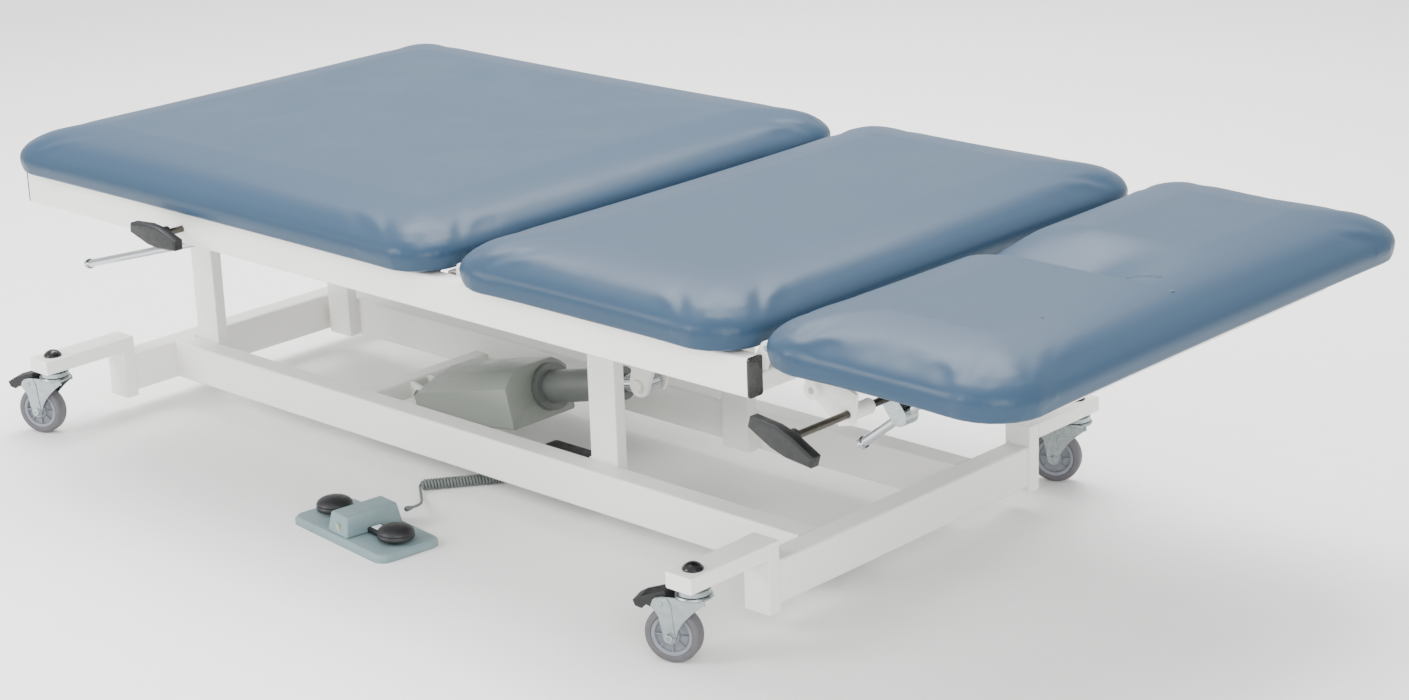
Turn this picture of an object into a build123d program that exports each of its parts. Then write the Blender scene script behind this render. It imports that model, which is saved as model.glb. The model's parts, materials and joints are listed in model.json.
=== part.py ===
"""Height-adjustable three-section treatment table on a rolling base.

Frame: millimetres, +Z up, +X towards the head end, origin on the floor below the middle of the
whole table, its foot casters included, Y = 0 on its plane of symmetry. The near side, with the
locking handles, is -Y.
"""
from build123d import *
from math import asin, atan2, cos, degrees, hypot, pi, radians, sin
import os

os.makedirs("parts", exist_ok=True)

# ---------------------------------------------------------------- driving dimensions
# Middle of the cushions: the foot casters stand out beyond them, so it isn't at the origin
table_middle_x = 16.0

# Upholstered sections
foot_section_length = 982.0
mid_section_length = 539.0
head_section_length = 409.0
table_width = 883.0
cushion_thickness = 62.0
cushion_corner = 90.0
cushion_top_edge = 28.0
cushion_bottom_edge = 16.0
foot_gap_half = 16.5
head_gap_half = 12.5
board_thickness = 12.0
board_inset = 26.0
board_clearance = 0.5
board_pocket_clearance = 0.4
face_opening_width = 134.0
face_opening_length = 300.0
face_opening_overrun = 20.0
face_opening_depth = 14.0
face_opening_slope = 35.0

# Top frame
top_frame_top = 426.0
top_rail_height = 51.0
top_rail_width = 25.0
top_frame_width = 808.0
top_rail_foot_inset = 23.0
top_rail_head_inset = 6.0
cross_tube = 25.0
tube_wall = 2.0
tube_corner = 4.0
plug_flange = 3.0
plug_depth = 14.0

# Base
base_rail_width = 38.0
base_rail_height = 61.0
base_ground_clearance = 37.0
base_track = 330.0
base_length = 1372.0
outrigger_post_thickness = 22.0
outrigger_post_width = 44.0
outrigger_overhang = 103.0
arm_above_wheel = 52.0
outrigger_post_bottom = 30.0
arm_height = 22.0
caster_track = 806.0
arm_end_margin = 27.0

# Lift linkage
lift_post_width = 53.0
lift_post_thickness = 20.0
head_post_from_gap = -524.5
foot_post_offset = 56.5
post_pitch = 902.0
pivot_height = 340.0
swing_arm_length = 480.0
swing_arm_height = 40.0
swing_arm_width = 20.0
swing_arm_gap = 8.0
torque_tube_radius = 21.0
tie_tube_radius = 17.0
pivot_pin_radius = 8.0
hanger_thickness = 6.0
hanger_offset = 22.0
running_clearance = 0.05

# Actuator
lever_x = -50.5
lever_drop = 174.0
lever_thickness = 6.0
lever_gap = 30.0
anchor_x = -534.5
anchor_height = 47.0
anchor_pin_radius = 6.0
anchor_beam_setback = 37.0
beam_size = 30.0
actuator_lug_length = 68.0
housing_length = 214.0
housing_width = 128.0
housing_offset = -22.0
housing_below = 45.0
housing_above = 42.0
housing_shoulder = 18.0
housing_wall = 3.0
actuator_tube_radius = 25.0
actuator_tube_length = 164.0
actuator_tube_inside = 120.0
actuator_tube_wall = 4.0
actuator_collar_radius = 36.0
actuator_collar_length = 12.0
actuator_rod_radius = 14.0
actuator_rod_tail = 296.0
motor_radius = 20.0
motor_length = 120.0

# Section supports
hinge_height = 434.0
hinge_pin_radius = 4.0
hinge_ear_radius = 9.0
hinge_ear_thickness = 5.0
section_tube = 20.0
foot_frame_half = 300.0
head_frame_half = 280.0
support_rod_radius = 6.0
support_rod_head_radius = 8.0
lock_shaft_radius = 5.0
clamp_radius = 13.0
clamp_thickness = 24.0
rod_drop = 27.0
foot_lock_from_gap = -573.0
foot_lock_height = 398.0
foot_rod_y = -350.0
foot_eye_from_gap = -448.0
foot_eye_height = 407.0
foot_rod_length = 470.0
head_lock_from_gap = 61.0
head_lock_height = 342.0
head_rod_y = -215.0
head_eye_from_gap = 179.0
head_eye_height = 400.0
head_rod_length = 216.0
eye_radius = 9.0
eye_side_relief = 1.0
handle_length = 104.0
handle_height = 30.0
handle_end_height = 15.0
handle_thickness = 16.0
handle_hub_radius = 10.0
handle_hub_length = 14.0
foot_handle_y = -451.0
head_handle_y = -420.0
head_plate_y = 300.0
head_plate_thickness = 6.0

# Casters
wheel_radius = 38.0
tyre_depth = 10.0
tyre_width = 24.0
caster_trail = 28.0
caster_stem_radius = 6.0
caster_head_radius = 24.0
fork_plate = 2.5
fork_inside = 30.0
axle_radius = 4.0
brake_pin_radius = 3.0
brake_pin_setback = 38.0
brake_pin_rise = 7.0
lower_race_rise = 15.0
lower_race_height = 5.5
upper_race_rise = 21.0
upper_race_height = 6.0
upper_race_radius = 22.0
stem_flange_radius = 9.0
stem_flange_rise = 9.0
stem_flange_height = 3.0
cap_radius = 14.0
cap_height = 10.0
near_caster_turn = 203.0
far_caster_turn = 203.0

# Foot control and its cord
pedal_x = -203.0
pedal_y = -380.0
pedal_turn = -6.5
pedal_length = 228.0
pedal_depth = 106.0
pedal_plate = 12.0
pedal_hump_width = 50.0
pedal_hump_height = 30.0
button_radius = 27.0
button_height = 21.0
button_spacing = 154.0
button_travel = 4.0
button_clearance = 1.5
button_edge = 4.0
button_stem_length = 10.0
button_floor_gap = 0.5
button_stem_radius = 8.0
cord_radius = 2.1
coil_radius = 8.5
coil_length = 123.0
coil_heading = 53.0
box_start_x = -91.0
box_length = 100.0
box_depth = 40.0
box_height = 46.0
box_bottom = 42.0
inlet_width = 28.0
inlet_height = 20.0
inlet_depth = 14.0
relief_length = 20.0
relief_radius = 4.0

# ---------------------------------------------------------------- derived places
table_length = foot_section_length + mid_section_length + head_section_length
foot_end = table_middle_x - table_length / 2
foot_gap_x = foot_end + foot_section_length
head_gap_x = foot_gap_x + mid_section_length
head_end = head_gap_x + head_section_length

board_bottom = top_frame_top + board_clearance
board_top = board_bottom + board_thickness
cushion_bottom = top_frame_top + 2.0
cushion_top = cushion_bottom + cushion_thickness

rail_outer_y = top_frame_width / 2
rail_inner_y = rail_outer_y - top_rail_width
rail_y = rail_outer_y - top_rail_width / 2
rail_mid_z = top_frame_top - top_rail_height / 2
rail_foot_x = foot_end + top_rail_foot_inset
rail_head_x = head_gap_x - top_rail_head_inset
cross_z = top_frame_top - top_rail_height + cross_tube / 2

# The lift and the base stand where the head hinge puts them, whatever the foot section's length
head_post_x = head_gap_x + head_post_from_gap
foot_post_x = head_post_x - post_pitch
base_foot_x = foot_post_x - foot_post_offset
base_head_x = base_foot_x + base_length
base_mid_z = base_ground_clearance + base_rail_height / 2
base_rail_y = base_track / 2
base_inner_y = base_rail_y - base_rail_width / 2
outrigger_outer_y = base_rail_y + base_rail_width / 2 + outrigger_overhang
outrigger_inner_y = outrigger_outer_y - outrigger_post_thickness
caster_y = caster_track / 2
arm_end_y = caster_y + arm_end_margin
wheel_top = 2 * wheel_radius
outrigger_top = wheel_top + arm_above_wheel
arm_bottom = outrigger_top - arm_height

lift_post_y = base_inner_y - lift_post_thickness / 2
lift_post_inner_y = base_inner_y - lift_post_thickness
lift_post_top = pivot_height + 16.0
arm_y = lift_post_inner_y - swing_arm_gap - swing_arm_width / 2
arm_inner_y = arm_y - swing_arm_width / 2
arm_outer_y = arm_y + swing_arm_width / 2
upper_pivot_foot_x = foot_post_x + swing_arm_length
upper_pivot_head_x = head_post_x + swing_arm_length
hanger_y = arm_outer_y + swing_arm_gap + hanger_thickness / 2

lever_pin_x = head_post_x + lever_x
lever_pin_z = pivot_height - lever_drop
anchor_pin_x = head_post_x + anchor_x
beam_z = base_ground_clearance + beam_size / 2
ear_inner_y = lever_gap / 2
actuator_tilt = degrees(atan2(lever_pin_z - anchor_height, lever_pin_x - anchor_pin_x))
actuator_reach = hypot(lever_pin_z - anchor_height, lever_pin_x - anchor_pin_x)
housing_start = actuator_lug_length
housing_end = housing_start + housing_length

eye_thickness = 2 * (support_rod_radius - eye_side_relief)
foot_lock_x = foot_gap_x + foot_lock_from_gap
foot_eye_x = foot_gap_x + foot_eye_from_gap
head_lock_x = head_gap_x + head_lock_from_gap
head_eye_x = head_gap_x + head_eye_from_gap


# ---------------------------------------------------------------- shared shapes
def save(part, name):
    """Write one finished piece under its own name."""
    part.label = name
    export_step(part, f"parts/{name}.step")


def side_plane(y, x=0.0, z=0.0, tilt=0.0):
    """Upright plane facing the near side, its first axis tilted up from +X by tilt degrees."""
    along = (cos(radians(tilt)), 0, sin(radians(tilt)))
    return Plane(origin=(x, y, z), x_dir=along, z_dir=(0, -1, 0))


def tube_plane(axis, centre):
    """Plane across a straight tube: its first axis is level and its second points up."""
    across = (0, 1, 0) if axis == "X" else (1, 0, 0)
    along = (1, 0, 0) if axis == "X" else (0, -1, 0)
    return Plane.XY.offset(centre[2]) if axis == "Z" else Plane(origin=centre, x_dir=across, z_dir=along)


def square_tube(axis, centre, length, width, height):
    """Hollow rectangular tube with rounded corners, centred on a point."""
    with BuildPart() as tube:
        with BuildSketch(tube_plane(axis, centre)):
            with Locations((centre[0], centre[1]) if axis == "Z" else (0, 0)):
                RectangleRounded(width, height, tube_corner)
                RectangleRounded(
                    width - 2 * tube_wall, height - 2 * tube_wall, tube_corner - tube_wall, mode=Mode.SUBTRACT
                )
        extrude(amount=length / 2, both=True)
    return tube.part


def round_bar(axis_plane, length, radius, bore=0.0):
    """Round bar or tube centred on a plane and square to it."""
    with BuildPart() as bar:
        with BuildSketch(axis_plane):
            Circle(radius)
            if bore:
                Circle(bore, mode=Mode.SUBTRACT)
        extrude(amount=length / 2, both=True)
    return bar.part


def dome(radius, bottom, rise):
    """Line from the rim of a dome to its top on the Z axis, in the open sketch."""
    ball = (radius**2 + rise**2) / (2 * rise)
    half_turn = asin(radius / ball) / 2
    middle = (ball * sin(half_turn), bottom + rise - ball * (1 - cos(half_turn)))
    ThreePointArc((radius, bottom), middle, (0, bottom + rise))


def support_angle(lock, eye):
    """Direction of a support rod from its clamp's swivel axis and its upper eye."""
    reach = hypot(eye[0] - lock[0], eye[1] - lock[1])
    return degrees(atan2(eye[1] - lock[1], eye[0] - lock[0]) + asin(rod_drop / reach))


# ---------------------------------------------------------------- base frame
side_rails = [
    square_tube(
        "X",
        ((base_foot_x + base_head_x) / 2, side * base_rail_y, base_mid_z),
        base_length - base_rail_width,
        base_rail_width,
        base_rail_height,
    )
    for side in (-1, 1)
]
with BuildPart() as base_side_rails:
    add(side_rails)
save(base_side_rails.part, "base_side_rails")

# The anchor beam is the third cross member: the actuator pushes against its two ears.
beam_x = anchor_pin_x - anchor_beam_setback
end_rails = [
    square_tube("Y", (x, 0, base_mid_z), 2 * outrigger_inner_y, base_rail_width, base_rail_height)
    for x in (base_foot_x, base_head_x)
]
beam = square_tube("Y", (beam_x, 0, beam_z), 2 * base_inner_y, beam_size, beam_size)
with BuildPart() as base_cross_members:
    add(end_rails)
    add(beam)
    for side in (-1, 1):
        with BuildSketch(side_plane(side * (ear_inner_y + lever_thickness / 2))):
            with Locations((anchor_pin_x, anchor_height)):
                Circle(14)
            with Locations((beam_x + beam_size / 2 + 2, beam_z)):
                Rectangle(4, beam_size - 4)
            make_hull()
        extrude(amount=lever_thickness / 2, both=True)
    with BuildSketch(side_plane(0)):
        with Locations((anchor_pin_x, anchor_height)):
            Circle(anchor_pin_radius)
    extrude(amount=base_inner_y / 2, both=True, mode=Mode.SUBTRACT)
save(base_cross_members.part, "base_cross_members")

# Each outrigger is a post on the end rail with an arm on its top that reaches out to a caster.
caster_places = [(x, side * caster_y) for x in (base_foot_x, base_head_x) for side in (-1, 1)]
with BuildPart() as outriggers:
    arm_y_places = [side * (outrigger_outer_y + arm_end_y) / 2 for side in (-1, 1)]
    with BuildSketch(Plane.XY.offset(arm_bottom)):
        with Locations(*[(x, y) for x in (base_foot_x, base_head_x) for y in arm_y_places]):
            Rectangle(outrigger_post_width, arm_end_y - outrigger_outer_y)
    extrude(amount=arm_height)
    fillet(outriggers.edges().filter_by(Axis.Y), tube_corner / 2)
    post_y = outrigger_inner_y + outrigger_post_thickness / 2
    with BuildSketch(Plane.XY.offset(outrigger_post_bottom)):
        with Locations(*[(x, side * post_y) for x in (base_foot_x, base_head_x) for side in (-1, 1)]):
            RectangleRounded(outrigger_post_width, outrigger_post_thickness, tube_corner / 2)
    extrude(amount=outrigger_top - outrigger_post_bottom)
    with BuildSketch(Plane.XY.offset(arm_bottom)):
        with Locations(*caster_places):
            Circle(caster_stem_radius)
    extrude(amount=arm_height, mode=Mode.SUBTRACT)
save(outriggers.part, "outriggers")

with BuildPart() as lift_posts:
    with BuildSketch(Plane.XY.offset(base_ground_clearance)):
        with Locations(*[(x, side * lift_post_y) for x in (foot_post_x, head_post_x) for side in (-1, 1)]):
            RectangleRounded(lift_post_width, lift_post_thickness, tube_corner / 2)
    extrude(amount=lift_post_top - base_ground_clearance)
    with BuildSketch(side_plane(0)):
        with Locations((foot_post_x, pivot_height), (head_post_x, pivot_height)):
            Circle(pivot_pin_radius)
    extrude(amount=base_rail_y, both=True, mode=Mode.SUBTRACT)
save(lift_posts.part, "lift_posts")

# The pivot pins stay in the posts and in the anchor's ears; the moving frames turn on them.
with BuildPart() as base_pins:
    with BuildSketch(side_plane(0)):
        with Locations((foot_post_x, pivot_height), (head_post_x, pivot_height)):
            Circle(pivot_pin_radius)
    extrude(amount=base_inner_y + 6.0, both=True)
    with BuildSketch(side_plane(0)):
        with Locations((foot_post_x, pivot_height), (head_post_x, pivot_height)):
            Circle(pivot_pin_radius + 1)
    extrude(amount=arm_inner_y - 14.0, both=True, mode=Mode.SUBTRACT)
    with BuildSketch(side_plane(0)):
        with Locations((anchor_pin_x, anchor_height)):
            Circle(anchor_pin_radius)
    extrude(amount=ear_inner_y + lever_thickness, both=True)
    for side in (-1, 1):
        with BuildSketch(side_plane(side * (ear_inner_y + lever_thickness + 2), anchor_pin_x, anchor_height)):
            RegularPolygon(anchor_pin_radius * 1.7, 6)
        extrude(amount=2, both=True)
save(base_pins.part, "base_pins")


# ---------------------------------------------------------------- casters
def caster_stem():
    """Threaded stem with its upper raceway, fixed to the arm. Origin on the floor below it."""
    flange = wheel_top + stem_flange_rise
    race = wheel_top + upper_race_rise
    with BuildPart() as stem:
        with BuildSketch(Plane.XZ):
            with BuildLine():
                Polyline(
                    (0, flange), (stem_flange_radius, flange),
                    (stem_flange_radius, flange + stem_flange_height),
                    (caster_stem_radius, flange + stem_flange_height), (caster_stem_radius, race),
                    (upper_race_radius, race), (upper_race_radius, race + upper_race_height),
                    (2 * caster_stem_radius, arm_bottom), (caster_stem_radius, arm_bottom),
                    (caster_stem_radius, outrigger_top + 3),
                    (0, outrigger_top + 3), close=True,
                )
            make_face()
        revolve(axis=Axis.Z)
    return stem.part


def stem_cap():
    """Domed cap that hides the top of the stem."""
    with BuildPart() as cap:
        with BuildSketch(Plane.XZ):
            with BuildLine():
                Polyline(
                    (0, outrigger_top + cap_height), (0, outrigger_top + 4), (7, outrigger_top + 4),
                    (7, outrigger_top), (cap_radius, outrigger_top), (cap_radius, outrigger_top + 2),
                )
                dome(cap_radius, outrigger_top + 2, cap_height - 2)
            make_face()
        revolve(axis=Axis.Z)
    return cap.part


def caster_fork():
    """Pressed fork with its lower raceway, axle bolt and brake pin. The wheel trails along +X."""
    leg_y = (fork_inside + fork_plate) / 2
    with BuildPart() as fork:
        with BuildSketch(Plane.XY.offset(wheel_top + lower_race_rise)):
            Circle(caster_head_radius)
            Circle(caster_stem_radius + running_clearance, mode=Mode.SUBTRACT)
        extrude(amount=lower_race_height)
        for side in (-1, 1):
            with BuildSketch(side_plane(side * leg_y)):
                with BuildLine():
                    Polyline(
                        (-19, wheel_top + 18), (40, wheel_top + 18), (47, wheel_top + 8), (40, wheel_top - 4),
                        (caster_trail + 9, wheel_radius), (caster_trail, wheel_radius - 10),
                        (caster_trail - 9, wheel_radius), (-12, wheel_top + 4), close=True,
                    )
                make_face()
            extrude(amount=fork_plate / 2, both=True)
        with BuildSketch(side_plane(0)):
            with Locations((caster_trail, wheel_radius)):
                Circle(axle_radius)
        extrude(amount=fork_inside / 2 + fork_plate + 3, both=True)
        for side in (-1, 1):
            head_plane = side_plane(side * (fork_inside / 2 + fork_plate + 2), caster_trail, wheel_radius)
            with BuildSketch(head_plane):
                RegularPolygon(7, 6)
            extrude(amount=2, both=True)
        with BuildSketch(side_plane(0)):
            with Locations((brake_pin_setback, wheel_top + brake_pin_rise)):
                Circle(brake_pin_radius)
        extrude(amount=fork_inside / 2 + fork_plate, both=True)
    return fork.part


def caster_tyre():
    """Rubber tyre with rounded shoulders."""
    with BuildPart() as tyre:
        with BuildSketch(Plane.XY):
            with Locations((wheel_radius - tyre_depth / 2, 0)):
                RectangleRounded(tyre_depth, tyre_width, 3.5)
        revolve(axis=Axis.Y)
    return tyre.part


def caster_hub():
    """Wheel centre with a rim, a thin web and a boss, bored to run on the axle."""
    rim = wheel_radius - tyre_depth
    with BuildPart() as hub:
        with BuildSketch(Plane.XY):
            with BuildLine():
                Polyline(
                    (axle_radius + running_clearance, -13.5), (11, -13.5), (11, -5), (rim - 5, -5),
                    (rim - 5, -10), (rim, -10), (rim, 10), (rim - 5, 10), (rim - 5, 5), (11, 5), (11, 13.5),
                    (axle_radius + running_clearance, 13.5), close=True,
                )
            make_face()
        revolve(axis=Axis.Y)
    return hub.part


def caster_brake():
    """Foot lever that locks the wheel, turning on the pin between the fork's legs."""
    with BuildPart() as brake:
        with BuildSketch(side_plane(0)):
            with BuildLine():
                Polyline(
                    (31, wheel_top + 3), (31, wheel_top + 12), (35, wheel_top + 23), (70, wheel_top + 12),
                    (77, wheel_top + 6), (74, wheel_top - 2), (60, wheel_top + 2),
                    (46, wheel_top + 3), close=True,
                )
            make_face()
            with Locations((brake_pin_setback, wheel_top + brake_pin_rise)):
                Circle(brake_pin_radius + running_clearance, mode=Mode.SUBTRACT)
        extrude(amount=fork_inside / 2 - 1, both=True)
        with BuildSketch(side_plane(0)):
            for step in range(5):
                with Locations((44 + 6 * step, wheel_top + 23.5 - 1.9 * step)):
                    Circle(1.6)
        extrude(amount=fork_inside / 2 - 3, both=True, mode=Mode.SUBTRACT)
    return brake.part


def on_wheel(part):
    """Put a wheel piece, drawn about the origin, on the axle."""
    return part.moved(Location((caster_trail, 0, wheel_radius)))


fork_model, tyre_model, hub_model, brake_model = caster_fork(), caster_tyre(), caster_hub(), caster_brake()
stem_model, cap_model = caster_stem(), stem_cap()
casters = [
    ("near_foot", base_foot_x, -caster_y, near_caster_turn),
    ("far_foot", base_foot_x, caster_y, far_caster_turn),
    ("near_head", base_head_x, -caster_y, near_caster_turn),
    ("far_head", base_head_x, caster_y, far_caster_turn),
]
for corner, x, y, turn in casters:
    place = Location((x, y, 0), (0, 0, turn))
    save(fork_model.moved(place), f"{corner}_fork")
    save(on_wheel(tyre_model).moved(place), f"{corner}_tyre")
    save(on_wheel(hub_model).moved(place), f"{corner}_hub")
    save(brake_model.moved(place), f"{corner}_brake")

stems = [stem_model.moved(Location((x, y, 0))) for x, y in caster_places]
with BuildPart() as caster_stems:
    add(stems)
save(caster_stems.part, "caster_stems")

caps = [cap_model.moved(Location((x, y, 0))) for x, y in caster_places]
with BuildPart() as stem_caps:
    add(caps)
save(stem_caps.part, "stem_caps")


# ---------------------------------------------------------------- lift linkage
def swing_frame(post_x):
    """Pair of arms joined by a torque tube on the posts and a tie tube on the top frame."""
    upper_x = post_x + swing_arm_length
    with BuildPart() as frame:
        for side in (-1, 1):
            with BuildSketch(side_plane(side * arm_y)):
                with Locations((post_x, pivot_height), (upper_x, pivot_height)):
                    Circle(swing_arm_height / 2)
                make_hull()
            extrude(amount=swing_arm_width / 2, both=True)
        with BuildSketch(side_plane(0)):
            with Locations((post_x, pivot_height)):
                Circle(torque_tube_radius)
            with Locations((upper_x, pivot_height)):
                Circle(tie_tube_radius)
        extrude(amount=arm_y, both=True)
        with BuildSketch(side_plane(0)):
            with Locations((post_x, pivot_height), (upper_x, pivot_height)):
                Circle(pivot_pin_radius + running_clearance)
        extrude(amount=table_width / 2, both=True, mode=Mode.SUBTRACT)
    return frame.part


save(swing_frame(foot_post_x), "foot_swing_frame")
save(swing_frame(head_post_x), "head_swing_frame")

# The lever hangs from the head torque tube; its ears straddle the actuator's rod eye.
with BuildPart() as lift_lever:
    for side in (-1, 1):
        with BuildSketch(side_plane(side * (ear_inner_y + lever_thickness / 2))):
            with Locations((head_post_x, pivot_height)):
                Circle(torque_tube_radius + 9)
            with Locations((lever_pin_x, lever_pin_z)):
                Circle(18)
            make_hull()
            with Locations((head_post_x, pivot_height)):
                Circle(torque_tube_radius, mode=Mode.SUBTRACT)
        extrude(amount=lever_thickness / 2, both=True)
        with BuildSketch(side_plane(side * (ear_inner_y + lever_thickness + 3), lever_pin_x, lever_pin_z)):
            RegularPolygon(10, 6)
        extrude(amount=3, both=True)
save(lift_lever.part, "lift_lever")


# ---------------------------------------------------------------- actuator
def housing_block(inset):
    """Wedge-shaped block with a domed top, shrunk by inset on every side."""
    start, end = housing_start + inset, housing_end - inset
    below, above = housing_below - inset, housing_above - inset
    near_y = housing_offset - housing_width / 2 + inset
    far_y = housing_offset + housing_width / 2 - inset
    with BuildPart() as block:
        with BuildSketch(side_plane(housing_offset, anchor_pin_x, anchor_height, actuator_tilt)):
            with BuildLine():
                Polyline(
                    (start, -below * 0.6), (end, -below), (end, above), (start + 46, above + 6),
                    (start, above * 0.35), close=True,
                )
            make_face()
        extrude(amount=housing_width / 2 - inset, both=True)
        end_plane = Plane(
            origin=(anchor_pin_x, 0, anchor_height),
            x_dir=(0, 1, 0),
            z_dir=(cos(radians(actuator_tilt)), 0, sin(radians(actuator_tilt))),
        )
        with BuildSketch(end_plane):
            with BuildLine():
                near_shoulder, far_shoulder = (near_y, housing_shoulder - inset), (far_y, above * 0.55)
                Polyline(near_shoulder, (near_y, -below), (far_y, -below), far_shoulder)
                ThreePointArc(far_shoulder, (housing_offset + 22, above + 6), near_shoulder)
            make_face()
        extrude(amount=housing_end, mode=Mode.INTERSECT)
    return block.part


housing_outside = housing_block(0)
housing_inside = housing_block(housing_wall)
with BuildPart() as actuator_housing:
    add(housing_outside)
    fillet(actuator_housing.edges().group_by(SortBy.LENGTH)[-1], 5)
    with BuildSketch(side_plane(0, anchor_pin_x, anchor_height, actuator_tilt)):
        Circle(15)
        with Locations((housing_start + 1, -5)):
            Rectangle(4, 26)
        make_hull()
    extrude(amount=ear_inner_y - 0.5, both=True)
    add(housing_inside, mode=Mode.SUBTRACT)
    with BuildSketch(side_plane(0, anchor_pin_x, anchor_height)):
        Circle(anchor_pin_radius + running_clearance)
    extrude(amount=ear_inner_y, both=True, mode=Mode.SUBTRACT)
    tube_end = Plane(
        origin=(anchor_pin_x, 0, anchor_height),
        x_dir=(0, 1, 0),
        z_dir=(cos(radians(actuator_tilt)), 0, sin(radians(actuator_tilt))),
    )
    with BuildSketch(tube_end.offset(housing_end - 2 * housing_wall)):
        Circle(actuator_tube_radius)
    extrude(amount=3 * housing_wall, mode=Mode.SUBTRACT)
save(actuator_housing.part, "actuator_housing")

tube_start = housing_end - actuator_tube_inside
tube_stop = housing_end + actuator_tube_length
with BuildPart() as actuator_tube:
    with BuildSketch(tube_end.offset(tube_start)):
        Circle(actuator_tube_radius)
        Circle(actuator_tube_radius - actuator_tube_wall, mode=Mode.SUBTRACT)
    extrude(amount=tube_stop - tube_start)
    with BuildSketch(tube_end.offset(tube_stop - 12)):
        Circle(actuator_tube_radius - actuator_tube_wall)
        Circle(actuator_rod_radius + running_clearance, mode=Mode.SUBTRACT)
    extrude(amount=12)
    with BuildSketch(tube_end.offset(housing_end)):
        Circle(actuator_collar_radius)
        Circle(actuator_tube_radius, mode=Mode.SUBTRACT)
    extrude(amount=actuator_collar_length)
save(actuator_tube.part, "actuator_tube")

with BuildPart() as actuator_rod:
    with BuildSketch(tube_end.offset(actuator_reach - actuator_rod_tail)):
        Circle(actuator_rod_radius)
    extrude(amount=actuator_rod_tail - 8)
    with BuildSketch(side_plane(0, lever_pin_x, lever_pin_z)):
        Circle(15)
        Circle(6.5, mode=Mode.SUBTRACT)
    extrude(amount=11, both=True)
    with BuildSketch(side_plane(0, lever_pin_x, lever_pin_z)):
        Circle(6.5)
    extrude(amount=11, both=True, mode=Mode.SUBTRACT)
save(actuator_rod.part, "actuator_rod")

motor_y = housing_offset - housing_width / 2 + motor_radius + housing_wall + 3
motor_plane = Plane(
    origin=(anchor_pin_x, motor_y, anchor_height),
    x_dir=(0, 1, 0),
    z_dir=(cos(radians(actuator_tilt)), 0, sin(radians(actuator_tilt))),
).offset(housing_end - motor_length - 12)
with BuildPart() as actuator_motor:
    with BuildSketch(motor_plane):
        with Locations((0, -9)):
            Circle(motor_radius)
    extrude(amount=motor_length)
save(actuator_motor.part, "actuator_motor")

# ---------------------------------------------------------------- top frame
top_rail_length = rail_head_x - plug_flange - rail_foot_x - plug_flange
top_rail_mid = (rail_head_x + rail_foot_x) / 2
rail_tubes = []
for side in (-1, 1):
    rail_middle = (top_rail_mid, side * rail_y, rail_mid_z)
    rail_tubes.append(square_tube("X", rail_middle, top_rail_length, top_rail_width, top_rail_height))
with BuildPart() as top_rails:
    add(rail_tubes)
    with BuildSketch(side_plane(-rail_y, foot_lock_x, foot_lock_height)):
        Circle(lock_shaft_radius + 2 * running_clearance)
    extrude(amount=top_rail_width, both=True, mode=Mode.SUBTRACT)
save(top_rails.part, "top_rails")

with BuildPart() as rail_plugs:
    for x, inward in ((rail_foot_x, 1), (rail_head_x, -1)):
        for side in (-1, 1):
            plug_plane = Plane(origin=(x, side * rail_y, rail_mid_z), x_dir=(0, 1, 0), z_dir=(1, 0, 0))
            with BuildSketch(plug_plane):
                RectangleRounded(top_rail_width, top_rail_height, tube_corner)
            extrude(amount=inward * plug_flange)
            with BuildSketch(plug_plane):
                RectangleRounded(
                    top_rail_width - 2 * tube_wall, top_rail_height - 2 * tube_wall, tube_corner - tube_wall
                )
            extrude(amount=inward * (plug_flange + plug_depth))
save(rail_plugs.part, "rail_plugs")

foot_hanger_x = upper_pivot_foot_x + hanger_offset
head_hanger_x = upper_pivot_head_x + hanger_offset
cross_places = [rail_foot_x + plug_flange + cross_tube / 2, foot_hanger_x, foot_gap_x + 60, head_hanger_x]
cross_middles = [(x, 0, cross_z) for x in cross_places]
cross_tubes = [square_tube("Y", middle, 2 * rail_inner_y, cross_tube, cross_tube) for middle in cross_middles]
with BuildPart() as top_cross_tubes:
    add(cross_tubes)
save(top_cross_tubes.part, "top_cross_tubes")

cross_bottom = cross_z - cross_tube / 2
with BuildPart() as top_lugs:
    for pivot_x, tube_x in ((upper_pivot_foot_x, foot_hanger_x), (upper_pivot_head_x, head_hanger_x)):
        for side in (-1, 1):
            with BuildSketch(side_plane(side * hanger_y)):
                with Locations((pivot_x, pivot_height)):
                    Circle(pivot_pin_radius + 8)
                with Locations((tube_x, cross_bottom - 2)):
                    Rectangle(cross_tube, 4)
                make_hull()
                with Locations((pivot_x, pivot_height)):
                    Circle(pivot_pin_radius, mode=Mode.SUBTRACT)
            extrude(amount=hanger_thickness / 2, both=True)
    # One ear stands inside each rail at each section hinge.
    for gap_x, lean in ((foot_gap_x, 0), (head_gap_x, -12)):
        for side in (-1, 1):
            with BuildSketch(side_plane(side * (rail_inner_y - hinge_ear_thickness / 2))):
                with Locations((gap_x, hinge_height)):
                    Circle(hinge_ear_radius)
                with Locations((gap_x + lean, top_frame_top - 16)):
                    Rectangle(20, 8)
                make_hull()
                with Locations((gap_x, hinge_height)):
                    Circle(hinge_pin_radius, mode=Mode.SUBTRACT)
            extrude(amount=hinge_ear_thickness / 2, both=True)
save(top_lugs.part, "top_lugs")

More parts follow.
